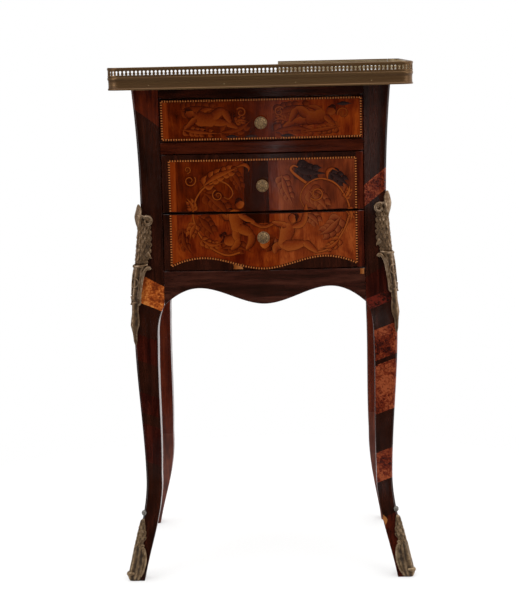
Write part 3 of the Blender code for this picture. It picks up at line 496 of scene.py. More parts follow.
def board(bm, xs, levels, face, back, finish=None, turn=0.0):
    """A board facing -Y before its turn. levels gives its heights at an x; its front edges are eased."""
    rows = len(levels(xs[0]))
    front, rear = [], []
    for i, x in enumerate(xs):
        heights = levels(x)
        for j, z in enumerate(heights):
            at_edge = i in (0, len(xs) - 1) or j in (0, rows - 1)
            y = face(x, z) + (EDGE_ROUND if at_edge else 0.0)
            front.append(Vector((x, y, z)))
            rear.append(Vector((x, back, z)))
    spin = Matrix.Rotation(turn, 3, "Z")
    front = [bm.verts.new(spin @ p) for p in front]
    rear = [bm.verts.new(spin @ p) for p in rear]
    for i in range(len(xs) - 1):
        for j in range(rows - 1):
            a, b, c, d = i * rows + j, (i + 1) * rows + j, (i + 1) * rows + j + 1, i * rows + j + 1
            shown = bm.faces.new((front[a], front[b], front[c], front[d]))
            bm.faces.new((rear[d], rear[c], rear[b], rear[a]))
            if finish:
                shown.material_index = finish(i, j)
    last = len(xs) - 1
    rim = [i * rows for i in range(len(xs))]
    rim += [last * rows + j for j in range(1, rows)]
    rim += [i * rows + rows - 1 for i in reversed(range(last))]
    rim += [j for j in reversed(range(1, rows - 1))]
    for a, b in zip(rim, rim[1:] + rim[:1]):
        bm.faces.new((front[a], rear[a], rear[b], front[b]))


def edged(values):
    """A list of places with one more just inside each end, for the eased edges."""
    return [values[0], values[0] + EDGE_ROUND] + values[1:-1] + [values[-1] - EDGE_ROUND, values[-1]]


# Legs, with veneers whose joints slant down from the outer corner


def leg_ring(level, signs):
    """Points round a leg from its outer corner, and which of them lie on the veneered outer faces."""
    fade = ease(level / UPRIGHT_FOOT) * (1.0 - ease((level - CASE_TOP + UPRIGHT_TOP) / UPRIGHT_TOP))
    slant = LEG_SLANT + (STILE_SLANT - LEG_SLANT) * ease((level - BRACKET_TOP) / SLANT_CHANGE)

    def section(z):
        outer_x, outer_y = WAIST_HALF_WIDTH + flare(z), WAIST_HALF_DEPTH + flare(z)
        inner_x, inner_y = WAIST_HALF_WIDTH - inset(z), WAIST_HALF_DEPTH - inset(z)
        front = []
        for angle in (45.0, 60.0, 75.0, 90.0):
            turn = math.radians(angle)
            x = outer_x - POST_ROUND + POST_ROUND * math.cos(turn)
            y = outer_y - POST_ROUND + POST_ROUND * math.sin(turn)
            front.append((x, y))
        flat = outer_x - POST_ROUND - inner_x
        front += [(outer_x - POST_ROUND - flat * t, outer_y) for t in (0.25, 0.5, 0.75)]
        front += [(inner_x + EDGE_ROUND, outer_y), (inner_x, outer_y - EDGE_ROUND)]
        inside = [(inner_x, (outer_y + inner_y) / 2), (inner_x, inner_y + EDGE_ROUND)]
        shift = outer_y - outer_x
        side = [(y - shift, x + shift) for x, y in front]
        behind = [(y - shift, x + shift) for x, y in inside]
        return front + inside + behind[::-1] + side[:0:-1], len(front)

    points, veneered = section(level)
    outer = WAIST_HALF_WIDTH + flare(level)
    width = outer - (WAIST_HALF_WIDTH - inset(level))
    count = len(points)
    ring = []
    for i in range(count):
        on_front, on_side = i < veneered, i > count - veneered
        if on_front:
            across = outer - points[i][0]
        elif on_side:
            across = outer - points[count - i][0]
        else:
            across = width
        z = level - slant * across * fade
        x, y = section(z)[0][i]
        ring.append((signs[0] * (x - tuck(z, signs)), signs[1] * y, z))
    return ring, veneered


LEG_FINISHES = (
    ROSEWOOD_UPRIGHT,
    MAHOGANY_RED,
    MAHOGANY_DARK_AND_SHADE,
    BURL,
    BURL_RED,
    BURL_DARK,
    MAHOGANY_PLAIN,
    MAHOGANY_FADED,
)
DARK, RED, DARK_RED_AND_SHADE, MOTTLED, RED_MOTTLED, DARK_MOTTLED, PLAIN, FADED = range(len(LEG_FINISHES))
# Painted shade: the left leg lies in shade, so where the right leg shows red burl, its lower bands take the
# dark red
LEFT_VENEERS = (  # lower end at the outer corner, and veneer, from the top down
    (0.664, RED),
    (0.4385, DARK),
    (0.3985, MOTTLED),
    (0.3537, DARK),
    (0.3161, DARK_RED_AND_SHADE),
    (0.2697, DARK),
    (0.2401, DARK_RED_AND_SHADE),
    (0.2242, DARK),
    (0.1681, DARK_RED_AND_SHADE),
    (0.0, DARK),
)
RIGHT_VENEERS = (
    (0.577, DARK),
    (0.5467, RED_MOTTLED),
    (0.4480, DARK),
    (0.4113, DARK_RED_AND_SHADE),
    (0.3950, DARK_MOTTLED),
    (0.3633, DARK),
    (0.3187, RED_MOTTLED),
    (0.3119, DARK),
    (0.2396, RED_MOTTLED),
    (0.1825, DARK),
    (0.1384, RED_MOTTLED),
    (0.0894, DARK),
    (0.0, RED),
)
FADED_BELOW = {-1: 0.163, 1: 0.191}  # height by side up to which a rear leg has faded
LEG_STEP = 0.008


def leg(corner, signs):
    bands = LEFT_VENEERS if signs[0] < 0 else RIGHT_VENEERS
    levels = [CASE_TOP]
    veneers = []
    for end, veneer in bands:
        start = levels[-1]
        steps = max(1, math.ceil((start - end) / LEG_STEP))
        levels += spread(start, end, steps)[1:]
        veneers += [veneer] * steps
    rings = [leg_ring(level, signs) for level in levels]
    veneered = rings[0][1]
    count = len(rings[0][0])

    def finish(row, column):
        if column < veneered - 1 or column > count - veneered:
            return veneers[row]
        return FADED if signs[1] > 0 and levels[row] < FADED_BELOW[signs[0]] else PLAIN

    bm = new_shape()
    skin(bm, [ring for ring, _ in rings], finish)
    piece(f"leg_{corner}_veneered", bm, LEG_FINISHES, "carcass", [f"leg_{corner}"])


for corner, signs in CORNERS.items():
    leg(corner, signs)


# Rails, apron and side panels


def plain_levels(low, high, count):
    return lambda x: edged(spread(low, high, count))


def front_rail(name, low, high, veneer):
    bm = new_shape()
    half = OPENING_HALF_WIDTH - GAP
    xs = edged(spread(-half, half, 48))
    board(bm, xs, plain_levels(low + GAP, high - GAP, 4), front_face, -FRONT_BACK_PLANE)
    piece(f"{name}_veneered", bm, [veneer], "carcass", [name])


front_rail("top_rail", TOP_RAIL_LOW, CASE_TOP, ROSEWOOD_ACROSS)
front_rail("middle_rail", MIDDLE_RAIL_LOW, UPPER_DRAWER_LOW, MAHOGANY_RAIL)


def apron_levels(x):
    low = serpentine(x, OPENING_HALF_WIDTH, APRON_CENTRE, APRON_PEAK, APRON_PEAK_AT)
    return edged(spread(low, OPENING_BOTTOM - GAP, 10))


def side_levels(x):
    low = serpentine(x, SIDE_HALF_LENGTH, SIDE_CENTRE, SIDE_PEAK, SIDE_PEAK_AT)
    return edged(spread(low, CASE_TOP - GAP, 48))


bm = new_shape()
half = OPENING_HALF_WIDTH - GAP
board(bm, edged(spread(-half, half, 72)), apron_levels, front_face, -FRONT_BACK_PLANE)
piece("front_apron_veneered", bm, [ROSEWOOD_APRON], "carcass", ["front_apron"])
for name, turn in (("side_panel_right", math.pi / 2), ("side_panel_left", -math.pi / 2)):
    bm = new_shape()
    half = SIDE_HALF_LENGTH - GAP
    board(bm, edged(spread(-half, half, 40)), side_levels, side_face, -SIDE_INNER_PLANE, turn=turn)
    piece(f"{name}_veneered", bm, [ROSEWOOD_SIDE], "carcass", [name])


# Drawer fronts

UPPER_STRING_HALF = DRAWER_HALF_WIDTH - 0.0024
LOWER_STRING_HALF = 0.1285
UPPER_STRING_TOP = 0.5910
# The lower stringing's wave: heights at the centre and peaks, the peaks' x, and the height at the ends
STRING_WAVE = (0.4412, 0.4567, 0.0830, 0.4455)
STRIP_WIDTH = 0.0090


def wavy_string(x):
    """Height of the stringing that follows the apron's wave on the lower drawer."""
    return serpentine(x, LOWER_STRING_HALF, *STRING_WAVE)


def drawer_front(name, grounds, low, high, string_half, string_low, string_high):
    """A front with its border, its lighter strip on the left, and a ground of two veneers in the stringing.

    grounds gives the left veneer, where along x the two meet, and the right veneer.
    """
    half = DRAWER_HALF_WIDTH
    left_ground, seam, right_ground = grounds
    low, high = low + DRAWER_PLAY, high - DRAWER_PLAY
    inner = spread(-string_half + STRIP_WIDTH, string_half, 44)
    xs = edged([-half] + [-string_half] + inner + [half])

    def levels(x):
        bottom, top = max(low + 2 * EDGE_ROUND, string_low(x)), min(high - 2 * EDGE_ROUND, string_high(x))
        return edged([low] + spread(bottom, top, 14) + [high])

    rows = len(levels(0.0))

    def finish(i, j):
        x = (xs[i] + xs[i + 1]) / 2
        inside = 2 <= j <= rows - 4
        if x > string_half:
            return 3
        if x < -string_half or not inside:
            return 0
        if x < -string_half + STRIP_WIDTH:
            return 1
        return 2 if x < seam else 4

    bm = new_shape()
    board(bm, xs, levels, front_face, -FRONT_BACK_PLANE, finish)
    finishes = [ROSEWOOD_UPRIGHT, GROUND_STRIP, left_ground, MAHOGANY_RED, right_ground]
    piece(f"{name}_front_veneered", bm, finishes, name, [f"{name}_front"])


drawer_front(
    "upper_drawer",
    (GROUND, 0.020, GROUND_WARM),
    UPPER_DRAWER_LOW,
    TOP_RAIL_LOW,
    UPPER_STRING_HALF,
    lambda x: UPPER_DRAWER_LOW,
    lambda x: TOP_RAIL_LOW,
)
drawer_front(
    "middle_drawer",
    (GROUND, 0.023, GROUND_PALE),
    MIDDLE_DRAWER_LOW,
    MIDDLE_RAIL_LOW,
    LOWER_STRING_HALF,
    lambda x: MIDDLE_DRAWER_LOW,
    lambda x: UPPER_STRING_TOP,
)
drawer_front(
    "lower_drawer",
    (GROUND_WARM, 0.023, GROUND_LIGHT),
    OPENING_BOTTOM,
    MIDDLE_DRAWER_LOW,
    LOWER_STRING_HALF,
    wavy_string,
    lambda x: MIDDLE_DRAWER_LOW,
)


# Inlays: thin pieces of wood let into the fronts. Designs are drawn in millimetres from a middle point.

INLAY_FINISHES = (
    INLAY_LIGHT,
    INLAY_PALE,
    INLAY_DARK,
    INLAY_LINE,
    GROUND_DARK,
    INLAY_DIM,
    INLAY_MILD,
    INLAY_WARM,
)
LIGHT_WOOD, PALE_WOOD, DARK_WOOD, LINE_WOOD, HEART_WOOD, DIM_WOOD, MILD_WOOD, WARM_WOOD = range(8)
PALER = {LIGHT_WOOD: PALE_WOOD, DIM_WOOD: MILD_WOOD}  # on the right, where the ground is paler
PALER_FROM = 15.0  # millimetres from the middle
LAYER = 0.000004  # each piece lies this much over the one before it
OUTLINE = 0.9  # millimetres of scorched line that show round a piece, both sides together
FINE = 4.0  # millimetres of width under which a piece is left pale
SCORCHED = (0.1, 0.5, 0.9)  # shades at a piece's left edge, its middle and its right edge
PALE = (0.6, 0.9, 1.0)


def form(*stops):
    """A piece's width as a share of the greatest, eased between (share of the length, share) stops."""

    def width(t):
        for (low, first), (high, second) in zip(stops, stops[1:]):
            if t <= high:
                return first + (second - first) * ease((t - low) / (high - low))
        return stops[-1][1]

    return width


def oval(t):
    return math.sqrt(max(0.01, 1.0 - (2.0 * t - 1.0) ** 2))


LEAF = form((0.0, 0.12), (0.4, 1.0), (1.0, 0.03))
STEM = form((0.0, 1.0), (0.6, 0.85), (1.0, 0.35))
BODY = form((0.0, 0.40), (0.15, 0.90), (0.35, 1.0), (0.6, 0.86), (0.85, 0.96), (1.0, 0.40))
LIMB = form((0.0, 0.55), (0.18, 1.0), (0.5, 0.92), (0.85, 0.62), (1.0, 0.25))
EVEN = form((0.0, 1.0), (1.0, 1.0))


def on_front(point, rise):
    x, z = point
    return Vector((x, front_face(x, z) - rise, z))


def inlay(bm, path, shape, width, finish, rise=INLAY_RISE, shade=SCORCHED, onto=on_front):
    """A flat piece along a path on the front, with its form along it and its shades across it."""
    rings = []
    count = len(path) - 1
    for i, spot in enumerate(path):
        ahead = path[min(count, i + 1)] - path[max(0, i - 1)]
        side = Vector((-ahead.y, ahead.x)).normalized() * shape(i / count) * width / 2
        shown = [onto(p, rise) for p in (spot + side, spot, spot - side)]
        sunk = [onto(p, -INLAY_SINK) for p in (spot - side, spot, spot + side)]
        rings.append(shown + sunk)
    tones = shade + shade[::-1]
    skin(bm, rings, lambda row, i: finish, marks=lambda row, i: ("shade", tones[i]))


def trim(bm, low, high):
    """Cuts inlays off square at a drawer's lower and upper edge."""
    for level, way in ((low, -1.0), (high, 1.0)):
        geometry = bm.verts[:] + bm.edges[:] + bm.faces[:]
        bmesh.ops.bisect_plane(
            bm, geom=geometry, plane_co=(0, 0, level), plane_no=(0, 0, way), clear_outer=True
        )
        bmesh.ops.holes_fill(bm, edges=[e for e in bm.edges if e.is_boundary], sides=0)


def resampled(corners, pitch):
    """Even steps along a line of (x, z) corners."""
    points = [Vector(c) for c in corners]
    lengths = distances(points)
    count = round(lengths[-1] / pitch)
    path = []
    for i in range(count + 1):
        k, t = locate(lengths, lengths[-1] * i / count)
        path.append(points[k].lerp(points[k + 1], t))
    return path


def stringing(bm, corners):
    """A dark line with square boxwood cells in it: one length of the stringing."""
    path = resampled(corners, STRING_PITCH)
    inlay(bm, path, EVEN, STRING_WIDTH, 1)
    for a, b in zip(path, path[1:]):
        cell = [a.lerp(b, 0.28), a.lerp(b, 0.5), a.lerp(b, 0.72)]
        inlay(bm, cell, EVEN, 0.76 * STRING_WIDTH, 0, INLAY_RISE + 10 * LAYER)


def curl(centre, radius, start, turns, steps=26, tail=0.2):
    """A spiral that winds in from its radius to a share of it. Angles in turns."""
    points = []
    for i in range(steps + 1):
        t = i / steps
        angle = 2.0 * math.pi * (start + turns * t)
        reach = radius * (1.0 + (tail - 1.0) * t)
        points.append(Vector((centre[0] + reach * math.cos(angle), centre[1] + reach * math.sin(angle))))
    return points


def leaf(*points, width, shape=LEAF, wood=LIGHT_WOOD):
    """One piece through a few points, with its greatest width and its form."""
    return [(smooth_path(points, 8), width, shape, wood)]


def tendril(centre, radius, start, turns, width):
    return [(curl(centre, radius, start, turns), width, STEM, LIGHT_WOOD)]


def acanthus(*points, width, lobes, wood=LIGHT_WOOD):
    """A leaf with pairs of lobes that branch from its rib."""
    path = smooth_path(points, 8)
    last = len(path) - 1
    pieces = []
    for k in range(lobes):
        share = 0.08 + 0.75 * k / lobes
        i = round(share * last)
        along = (path[min(last, i + 1)] - path[max(0, i - 1)]).normalized()
        for way in (-1.0, 1.0):
            reach = width * (0.80 - 0.40 * share)
            bend = path[i] + Matrix.Rotation(way * 0.95, 2) @ along * reach * 0.55
            tip = path[i] + Matrix.Rotation(way * 0.55, 2) @ along * reach
            pieces.append((smooth_path([path[i], bend, tip], 6), width * 0.40, LEAF, wood))
    pieces.append((path, width * 0.36, LEAF, wood))
    return pieces


def child(head, torso, far, near, turn):
    """A chubby nude figure without features: far limbs, body, near limbs, head, and hair on turn's side."""
    pieces = []
    for width, *limb in far:
        pieces += leaf(*limb, width=width, shape=LIMB)
    pieces += leaf(*torso, width=20.0, shape=BODY)
    for width, *limb in near:
        pieces += leaf(*limb, width=width, shape=LIMB)
    centre = Vector(head)
    up = (centre - Vector(torso[0])).normalized()
    across = Vector((up.y, -up.x)) * turn
    pieces += leaf(centre - 6.6 * up, centre, centre + 6.6 * up, width=12.5, shape=oval)
    locks = ((-5.8, -3.0), (-3.2, 5.2), (4.8, 4.8))  # across the head and up it
    hair = [centre + side * across + height * up for side, height in locks]
    pieces += leaf(*hair, width=4.6, wood=LINE_WOOD)
    return pieces


def scroll_design():
    """Foliage and two children with a ribbon, over the two lower drawers. Its middle is where these meet."""
    left = [(-33, -55), (-51, -58.5), (-70, -50), (-85, -35), (-94, -18), (-97, 0), (-92, 20), (-79, 36)]
    left += [(-60, 43.5), (-47, 38), (-41, 27), (-47, 19), (-54, 22)]
    right = [(70, -57), (88, -53), (104, -38), (115, -18), (119, 2), (113, 20), (99, 38), (78, 44.5)]
    right += [(60, 36), (51.5, 20), (56, 6)]
    pieces = leaf((-8.5, 71.0), (-8.5, 30), (-8.5, -15), width=34.0, shape=EVEN, wood=HEART_WOOD)
    # Foliage that lies back in the ground
    for points, width, lobes in (
        (((-84, 30), (-66, 18), (-52, 2), (-50, -14)), 26.0, 5),
        (((-90, -4), (-78, -18), (-66, -34)), 24.0, 4),
        (((-60, -50), (-40, -46), (-14, -56)), 22.0, 4),
        (((-46, 62), (-34, 44), (-28, 26)), 18.0, 4),
        (((62, 30), (78, 16), (92, -4)), 26.0, 4),
        (((108, -8), (92, -26), (74, -34)), 24.0, 4),
        (((56, -2), (70, -10), (78, -24)), 20.0, 3),
        (((16, -34), (8, -44), (-6, -54)), 18.0, 3),
        (((26, 52), (32, 30), (44, 4)), 20.0, 4),
        (((-112, -20), (-110, -42), (-98, -58)), 16.0, 3),
    ):
        pieces += acanthus(*points, width=width, lobes=lobes, wood=DIM_WOOD)
    # Dark leaves
    pieces += acanthus((44, 61), (62, 54), (92, 51), width=27.0, lobes=4, wood=DARK_WOOD)
    pieces += acanthus((92, 53), (106, 44), (119, 33), width=19.0, lobes=3, wood=DARK_WOOD)
    pieces += acanthus((-58, -26), (-50, -40), (-30, -46), width=10.0, lobes=3, wood=LINE_WOOD)
    # Scrolls and the foliage on the left one
    pieces += leaf(*left, width=2.6, shape=STEM)
    pieces += leaf(*right, width=2.6, shape=STEM)
    pieces += acanthus((-86, 34), (-66, 49), (-47, 57), (-30, 63), width=20.0, lobes=5)
    pieces += leaf((-38, 62), (-25, 66), (-18, 61), (-20, 54), width=5.0)
    pieces += acanthus((-97, 2), (-99, 12), (-107, 23), width=14.0, lobes=3)
    pieces += acanthus((-93, -14), (-99, -25), (-102, -38), width=17.0, lobes=3)
    pieces += acanthus((-88, -36), (-71, -44), (-55, -41), width=14.0, lobes=4)
    pieces += leaf((-55, -40), (-46, -38), (-37, -37), width=15.0, shape=oval)
    pieces += tendril((-100, 45), 8.5, 0.10, -1.4, 1.6)
    pieces += tendril((-103, 60), 5.0, 0.75, 1.2, 1.4)
    pieces += tendril((-62, 24), 8.0, 0.30, 1.3, 1.6)
    # Foliage and drapery on the right scroll
    pieces += leaf((60, 39), (47, 49), (39, 58), (43, 63), (49, 61), width=3.6, shape=STEM)
    pieces += leaf((90, 39), (89, 52), (96, 58), (105, 53), width=5.0)
    pieces += acanthus((112, 16), (118, 25), (120, 36), width=11.0, lobes=3)
    pieces += acanthus((117, 4), (122, -6), (119, -18), width=11.0, lobes=3)
    pieces += acanthus((106, -38), (94, -49), (78, -52), width=14.0, lobes=3)
    pieces += tendril((74, 24), 10.0, 0.60, 1.4, 2.0)
    # Children on the scrolls, with a ribbon between them over the knob, and a pale oval under it
    pieces += leaf((1.5, -30), (1.5, -40), (1.5, -50), width=15.0, shape=oval, wood=WARM_WOOD)
    pieces += leaf((-17, -13), (0, -20), (17, -14), width=4.4, shape=EVEN)
    far = ((8.5, (-42, 0), (-50, -7), (-57, -2)), (13.0, (-36, -22), (-37, -32), (-34, -40)))
    far += ((9.5, (-34, -38), (-38, -45), (-45, -51)),)
    near = ((15.0, (-34, -20), (-24, -25), (-15, -31)), (10.5, (-16, -29), (-17, -40), (-24, -51)))
    near += ((8.5, (-34, 0), (-24, -8), (-12, -13)),)
    pieces += child((-32, 12), ((-36, 4), (-38, -9), (-33, -26)), far, near, 1.0)
    far = ((11.0, (25, -46), (17, -48), (15, -57)), (8.5, (32, -19), (23, -17), (12, -14)))
    near = ((15.0, (26, -47), (43, -46), (58, -43)), (10.0, (56, -42), (64, -49), (74, -57)))
    near += ((8.5, (40, -21), (53, -17), (58, -5), (59, 10)),)
    pieces += child((41, -9), ((37, -17), (31, -32), (28, -51)), far, near, -1.0)
    toned = []
    for path, width, shape, wood in pieces:
        if path[len(path) // 2].x > PALER_FROM:
            wood = PALER.get(wood, wood)
        toned.append((path, width, shape, wood))
    return toned


def frieze_design():
    """The upper drawer's frieze: two children who lie on leaves, and scrolls. Its middle is the knob's."""
    pieces = []
    for points, width, lobes in (
        (((-112, 18), (-84, 20), (-44, 18)), 22.0, 6),
        (((-60, -14), (-30, -8), (-12, 4)), 20.0, 4),
        (((16, 10), (44, 18), (84, 20)), 22.0, 5),
        (((14, -14), (44, -8), (76, -14)), 20.0, 5),
    ):
        pieces += acanthus(*points, width=width, lobes=lobes, wood=DIM_WOOD)
    for x, z, width in ((-39, -18.5, 4.0), (-13, -18.5, 3.0), (37, -18.5, 4.0), (114, 23, 5.0)):
        pieces += leaf((x - 11, z - 0.6), (x, z), (x + 11, z - 0.6), width=width, wood=DARK_WOOD)
    far = ((7.5, (-86, 11), (-77, 18), (-67, 20)), (12.0, (-66, 3), (-55, 1), (-46, 0)))
    far += ((8.5, (-47, 0), (-40, -3), (-32, -7)),)
    near = ((13.0, (-66, 7), (-57, 15), (-48, 17)), (10.0, (-50, 17), (-46, 9), (-41, 0)))
    near += ((8.0, (-89, 7), (-96, 0), (-103, -6)),)
    figure = acanthus((-110, -8), (-84, -12), (-50, -15), width=15.0, lobes=5)
    figure += child((-98, 14), ((-90, 10), (-78, 5), (-62, 5)), far, near, -1.0)
    figure += tendril((-27, 14), 7.0, 0.40, -1.3, 2.0)
    figure += acanthus((-36, 1), (-28, 4), (-17, 1), width=12.0, lobes=3)
    pieces += figure
    for path, width, shape, wood in figure:
        pieces.append(([Vector((-2.0 - p.x, p.y)) for p in path], width, shape, wood))
    pieces += tendril((112, 10), 8.0, 0.55, -1.4, 2.2)
    return pieces


def marquetry(name, design, middle, low, high, light=INLAY_LIGHT):
    """Lays a design's pieces one over the other, each on its scorched outline, and trims them to a drawer."""
    bm = new_shape()
    for order, (path, width, shape, wood) in enumerate(design()):
        spots = [Vector((p.x, p.y)) * 0.001 + Vector((0.0, middle)) for p in path]
        rise = INLAY_RISE + order * LAYER
        shade = PALE if width < FINE else SCORCHED
        if wood != HEART_WOOD:
            inlay(bm, spots, shape, (width + OUTLINE) * 0.001, LINE_WOOD, rise - LAYER / 2)
        inlay(bm, spots, shape, width * 0.001, wood, rise, shade)
    trim(bm, low + DRAWER_PLAY + EDGE_ROUND, high - DRAWER_PLAY - EDGE_ROUND)
    piece(f"{name}_marquetry", bm, (light,) + INLAY_FINISHES[1:], name)


marquetry("upper_drawer", frieze_design, KNOB_HEIGHTS["upper"], UPPER_DRAWER_LOW, TOP_RAIL_LOW, INLAY_QUIET)
marquetry("middle_drawer", scroll_design, MIDDLE_DRAWER_LOW, MIDDLE_DRAWER_LOW, MIDDLE_RAIL_LOW)
marquetry("lower_drawer", scroll_design, MIDDLE_DRAWER_LOW, OPENING_BOTTOM, MIDDLE_DRAWER_LOW)


def drawer_stringing(name, lines):
    bm = new_shape()
    for corners in lines:
        stringing(bm, corners)
    piece(f"{name}_stringing", bm, [STRING_LIGHT, INLAY_LINE], name)


inset_line = DRAWER_PLAY + EDGE_ROUND + STRING_WIDTH / 2
upper_low, upper_high = UPPER_DRAWER_LOW + inset_line, TOP_RAIL_LOW - inset_line
upper_x = UPPER_STRING_HALF
lower_x = LOWER_STRING_HALF
bare_edge = DRAWER_PLAY + EDGE_ROUND
drawer_stringing(
    "upper_drawer",
    (
        [(-upper_x, upper_low), (-upper_x, upper_high)],
        [(-upper_x, upper_high), (upper_x, upper_high)],
        [(upper_x, upper_high), (upper_x, upper_low)],
        [(upper_x, upper_low), (-upper_x, upper_low)],
    ),
)
drawer_stringing(
    "middle_drawer",
    (
        [(-lower_x, MIDDLE_DRAWER_LOW + bare_edge), (-lower_x, UPPER_STRING_TOP)],
        [(-lower_x, UPPER_STRING_TOP), (lower_x, UPPER_STRING_TOP)],
        [(lower_x, UPPER_STRING_TOP), (lower_x, MIDDLE_DRAWER_LOW + bare_edge)],
    ),
)
drawer_stringing(
    "lower_drawer",
    (
        [(-lower_x, wavy_string(lower_x)), (-lower_x, MIDDLE_DRAWER_LOW - bare_edge)],
        [(x, wavy_string(x)) for x in spread(-lower_x, lower_x, 80)],
        [(lower_x, MIDDLE_DRAWER_LOW - bare_edge), (lower_x, wavy_string(lower_x))],
    ),
)

# Two places where veneer is lost and the wood under it shows: body, slot, x, low, high and width

BARE_RISE = 0.4 * INLAY_RISE
CHIPPED = form((0.0, 1.0), (0.4, 0.85), (1.0, 1.0))
LOST_VENEER = {
    "lower_drawer_lost_veneer": ("lower_drawer", "marquetry_front", -0.0360, 0.4408, 0.4478, 0.0140),
    "apron_lost_veneer": ("carcass", "mahogany_case", 0.1350, 0.4300, 0.4376, 0.0060),
}
for name, (body, slot, x, low, high, width) in LOST_VENEER.items():
    bm = new_shape()
    inlay(bm, [Vector((x, z)) for z in spread(low, high, 4)], CHIPPED, width, 0, BARE_RISE)
    piece(name, bm, [BARE_WOOD], body)


# Knobs

KNOB_RADIUS = 0.0085
KNOB_LENGTH = 0.0185
KNOB_RIM = 0.72  # height of the widest part, as a share of the length
KNOB_NECK = (  # below the rim: shares of the radius and of the length
    (0.97, 0.655),
    (0.86, 0.590),
    (0.66, 0.530),
    (0.48, 0.470),
    (0.42, 0.400),
    (0.42, 0.290),
    (0.50, 0.220),
    (0.64, 0.180),
    (0.72, 0.140),
    (0.73, 0.060),
    (0.72, 0.000),
)
CHASING_DEPTH = 0.0005
HATCH_LINES = 5.0  # round the face, each way
HATCH_TWIST = 9.0  # radians that they turn from the centre to the rim


def turned(bm, profile, place, steps, cut=lambda radius, height, angle: 0.0):
    """A form turned about an axis that points to the front. cut gives its chasing's depth, from 0 to 1."""
    rings, cuts = [], []
    for radius, height in profile:
        angles = [2.0 * math.pi * i / steps for i in range(steps)]
        depths = [cut(radius, height, angle) for angle in angles]
        ring = []
        for angle, depth in zip(angles, depths):
            out = height - depth * CHASING_DEPTH
            ring.append(place + Vector((radius * math.cos(angle), -out, radius * math.sin(angle))))
        rings.append(ring)
        cuts.append(depths)
    # The chasing's depth marks it hollow, so it is darker: partly dirt, partly painted shade
    skin(bm, rings, marks=lambda row, i: ("hollow", cuts[row][i]))


def hatching(radius, height, angle):
    """Cross-hatching on a knob's face, inside a plain centre and rim."""
    share = radius / KNOB_RADIUS
    if height < KNOB_RIM * KNOB_LENGTH:
        return 0.0
    lines, twist = HATCH_LINES * angle, HATCH_TWIST * share
    hatch = 0.5 - 0.5 * math.cos(lines + twist) * math.cos(lines - twist)
    return hatch * ease((share - 0.12) / 0.15) * ease((0.97 - share) / 0.10)


KNOB_DOME = []
for share in spread(0.05, 1.0, 18):
    KNOB_DOME.append((share, KNOB_RIM + (1.0 - KNOB_RIM) * math.sqrt(1.0 - share**2)))
KNOB_FORM = [(share * KNOB_RADIUS, height * KNOB_LENGTH) for share, height in (*KNOB_DOME, *KNOB_NECK)]

for name, z in KNOB_HEIGHTS.items():
    bm = new_shape()
    turned(bm, KNOB_FORM, Vector((0.0, front_face(0.0, z), z)), 72, hatching)
    knob = f"{name}_drawer_knob"
    piece(f"{knob}_turned", bm, [BRASS_TURNED], f"{name}_drawer", [knob])


# Brass edge band and gallery


def edge_samples(corner_steps, front_steps):
    """The outermost edge of the top, anticlockwise from the front left: (point, outward normal) samples."""
    corner_x = TOP_HALF_WIDTH - TOP_CORNER
    front_y = -(TOP_HALF_DEPTH - TOP_BOW) + TOP_CORNER
    rear_y = TOP_HALF_DEPTH - TOP_CORNER

    def corner(x, y, start):
        samples = []
        for i in range(corner_steps + 1):
            turn = math.radians(start + 90.0 * i / corner_steps)
            normal = Vector((math.cos(turn), math.sin(turn)))
            samples.append((Vector((x, y)) + TOP_CORNER * normal, normal))
        return samples

    front = []
    for x in spread(-corner_x, corner_x, front_steps)[1:-1]:
        slope = 2.0 * TOP_BOW * x / corner_x**2
        front.append((Vector((x, top_front(x))), Vector((slope, -1.0)).normalized()))
    return {
        "front_left": corner(-corner_x, front_y, 180.0),
        "front": front,
        "front_right": corner(corner_x, front_y, 270.0),
        "rear_right": corner(corner_x, rear_y, 0.0),
        "rear_left": corner(-corner_x, rear_y, 90.0),
    }


EDGE = edge_samples(12, 64)
BAND_FORM = (  # depth behind the outermost edge, and height above the band's foot
    (BAND_THICKNESS, 0.0000),
    (0.0007, 0.0000),
    (0.0002, 0.0005),
    (0.0000, 0.0012),
    (0.0003, 0.0020),
    (0.0008, 0.0024),
    (0.0010, 0.0030),
    (0.0011, 0.0062),
    (0.0011, 0.0100),
    (0.0009, 0.0128),
    (0.0005, 0.0134),
    (0.0001, 0.0142),
    (0.0000, 0.0155),
    (0.0001, 0.0168),
    (0.0005, 0.0176),
    (0.0012, 0.0180),
    (BAND_THICKNESS, 0.0180),
)
BAND_HOLLOWS = {5, 6, 9, 10}  # points of the form that lie in its grooves

bm = new_shape()
samples = [sample for run in EDGE.values() for sample in run]
rings = []
for point, normal in samples:
    rings.append([(*(point - normal * depth), CASE_TOP + height) for depth, height in BAND_FORM])
# The grooves are marked hollow and so are darker: partly old dirt, partly painted shade
skin(bm, rings, looped=True, marks=lambda row, i: ("hollow", 0.35 if i in BAND_HOLLOWS else 0.0))
piece("edge_band_reeded", bm, [BRASS_ROLLED], "carcass", ["edge_band"])

KEYHOLE_PITCH = 0.0054
KEYHOLE_NECK = 0.0040
KEYHOLE_EYE = 0.0062
KEYHOLE_RADIUS = 0.00165
KEYHOLE_FOOT = 0.0017
PIERCED_TOP = 0.0088
GALLERY_DEPTHS = (0.0006, 0.0019)  # of the outer and the inner face


def keyhole(pitch):
    """Right half of a piercing, from its foot to its top, with the edge of its cell beside each point."""
    eye = []
    for angle in (-40.0, 0.0, 45.0):
        turn = math.radians(angle)
        eye.append((KEYHOLE_RADIUS * math.cos(turn), KEYHOLE_EYE + KEYHOLE_RADIUS * math.sin(turn)))
    hole = [(0.0, KEYHOLE_FOOT), (0.00150, KEYHOLE_FOOT), (0.00085, KEYHOLE_NECK)] + eye
    hole.append((0.0, KEYHOLE_EYE + KEYHOLE_RADIUS))
    rim = [(0.0, 0.0), (pitch / 2, 0.0)]
    rim += [(pitch / 2, z) for z in (KEYHOLE_NECK, eye[0][1], KEYHOLE_EYE, PIERCED_TOP)]
    rim.append((0.0, PIERCED_TOP))
    return hole, rim


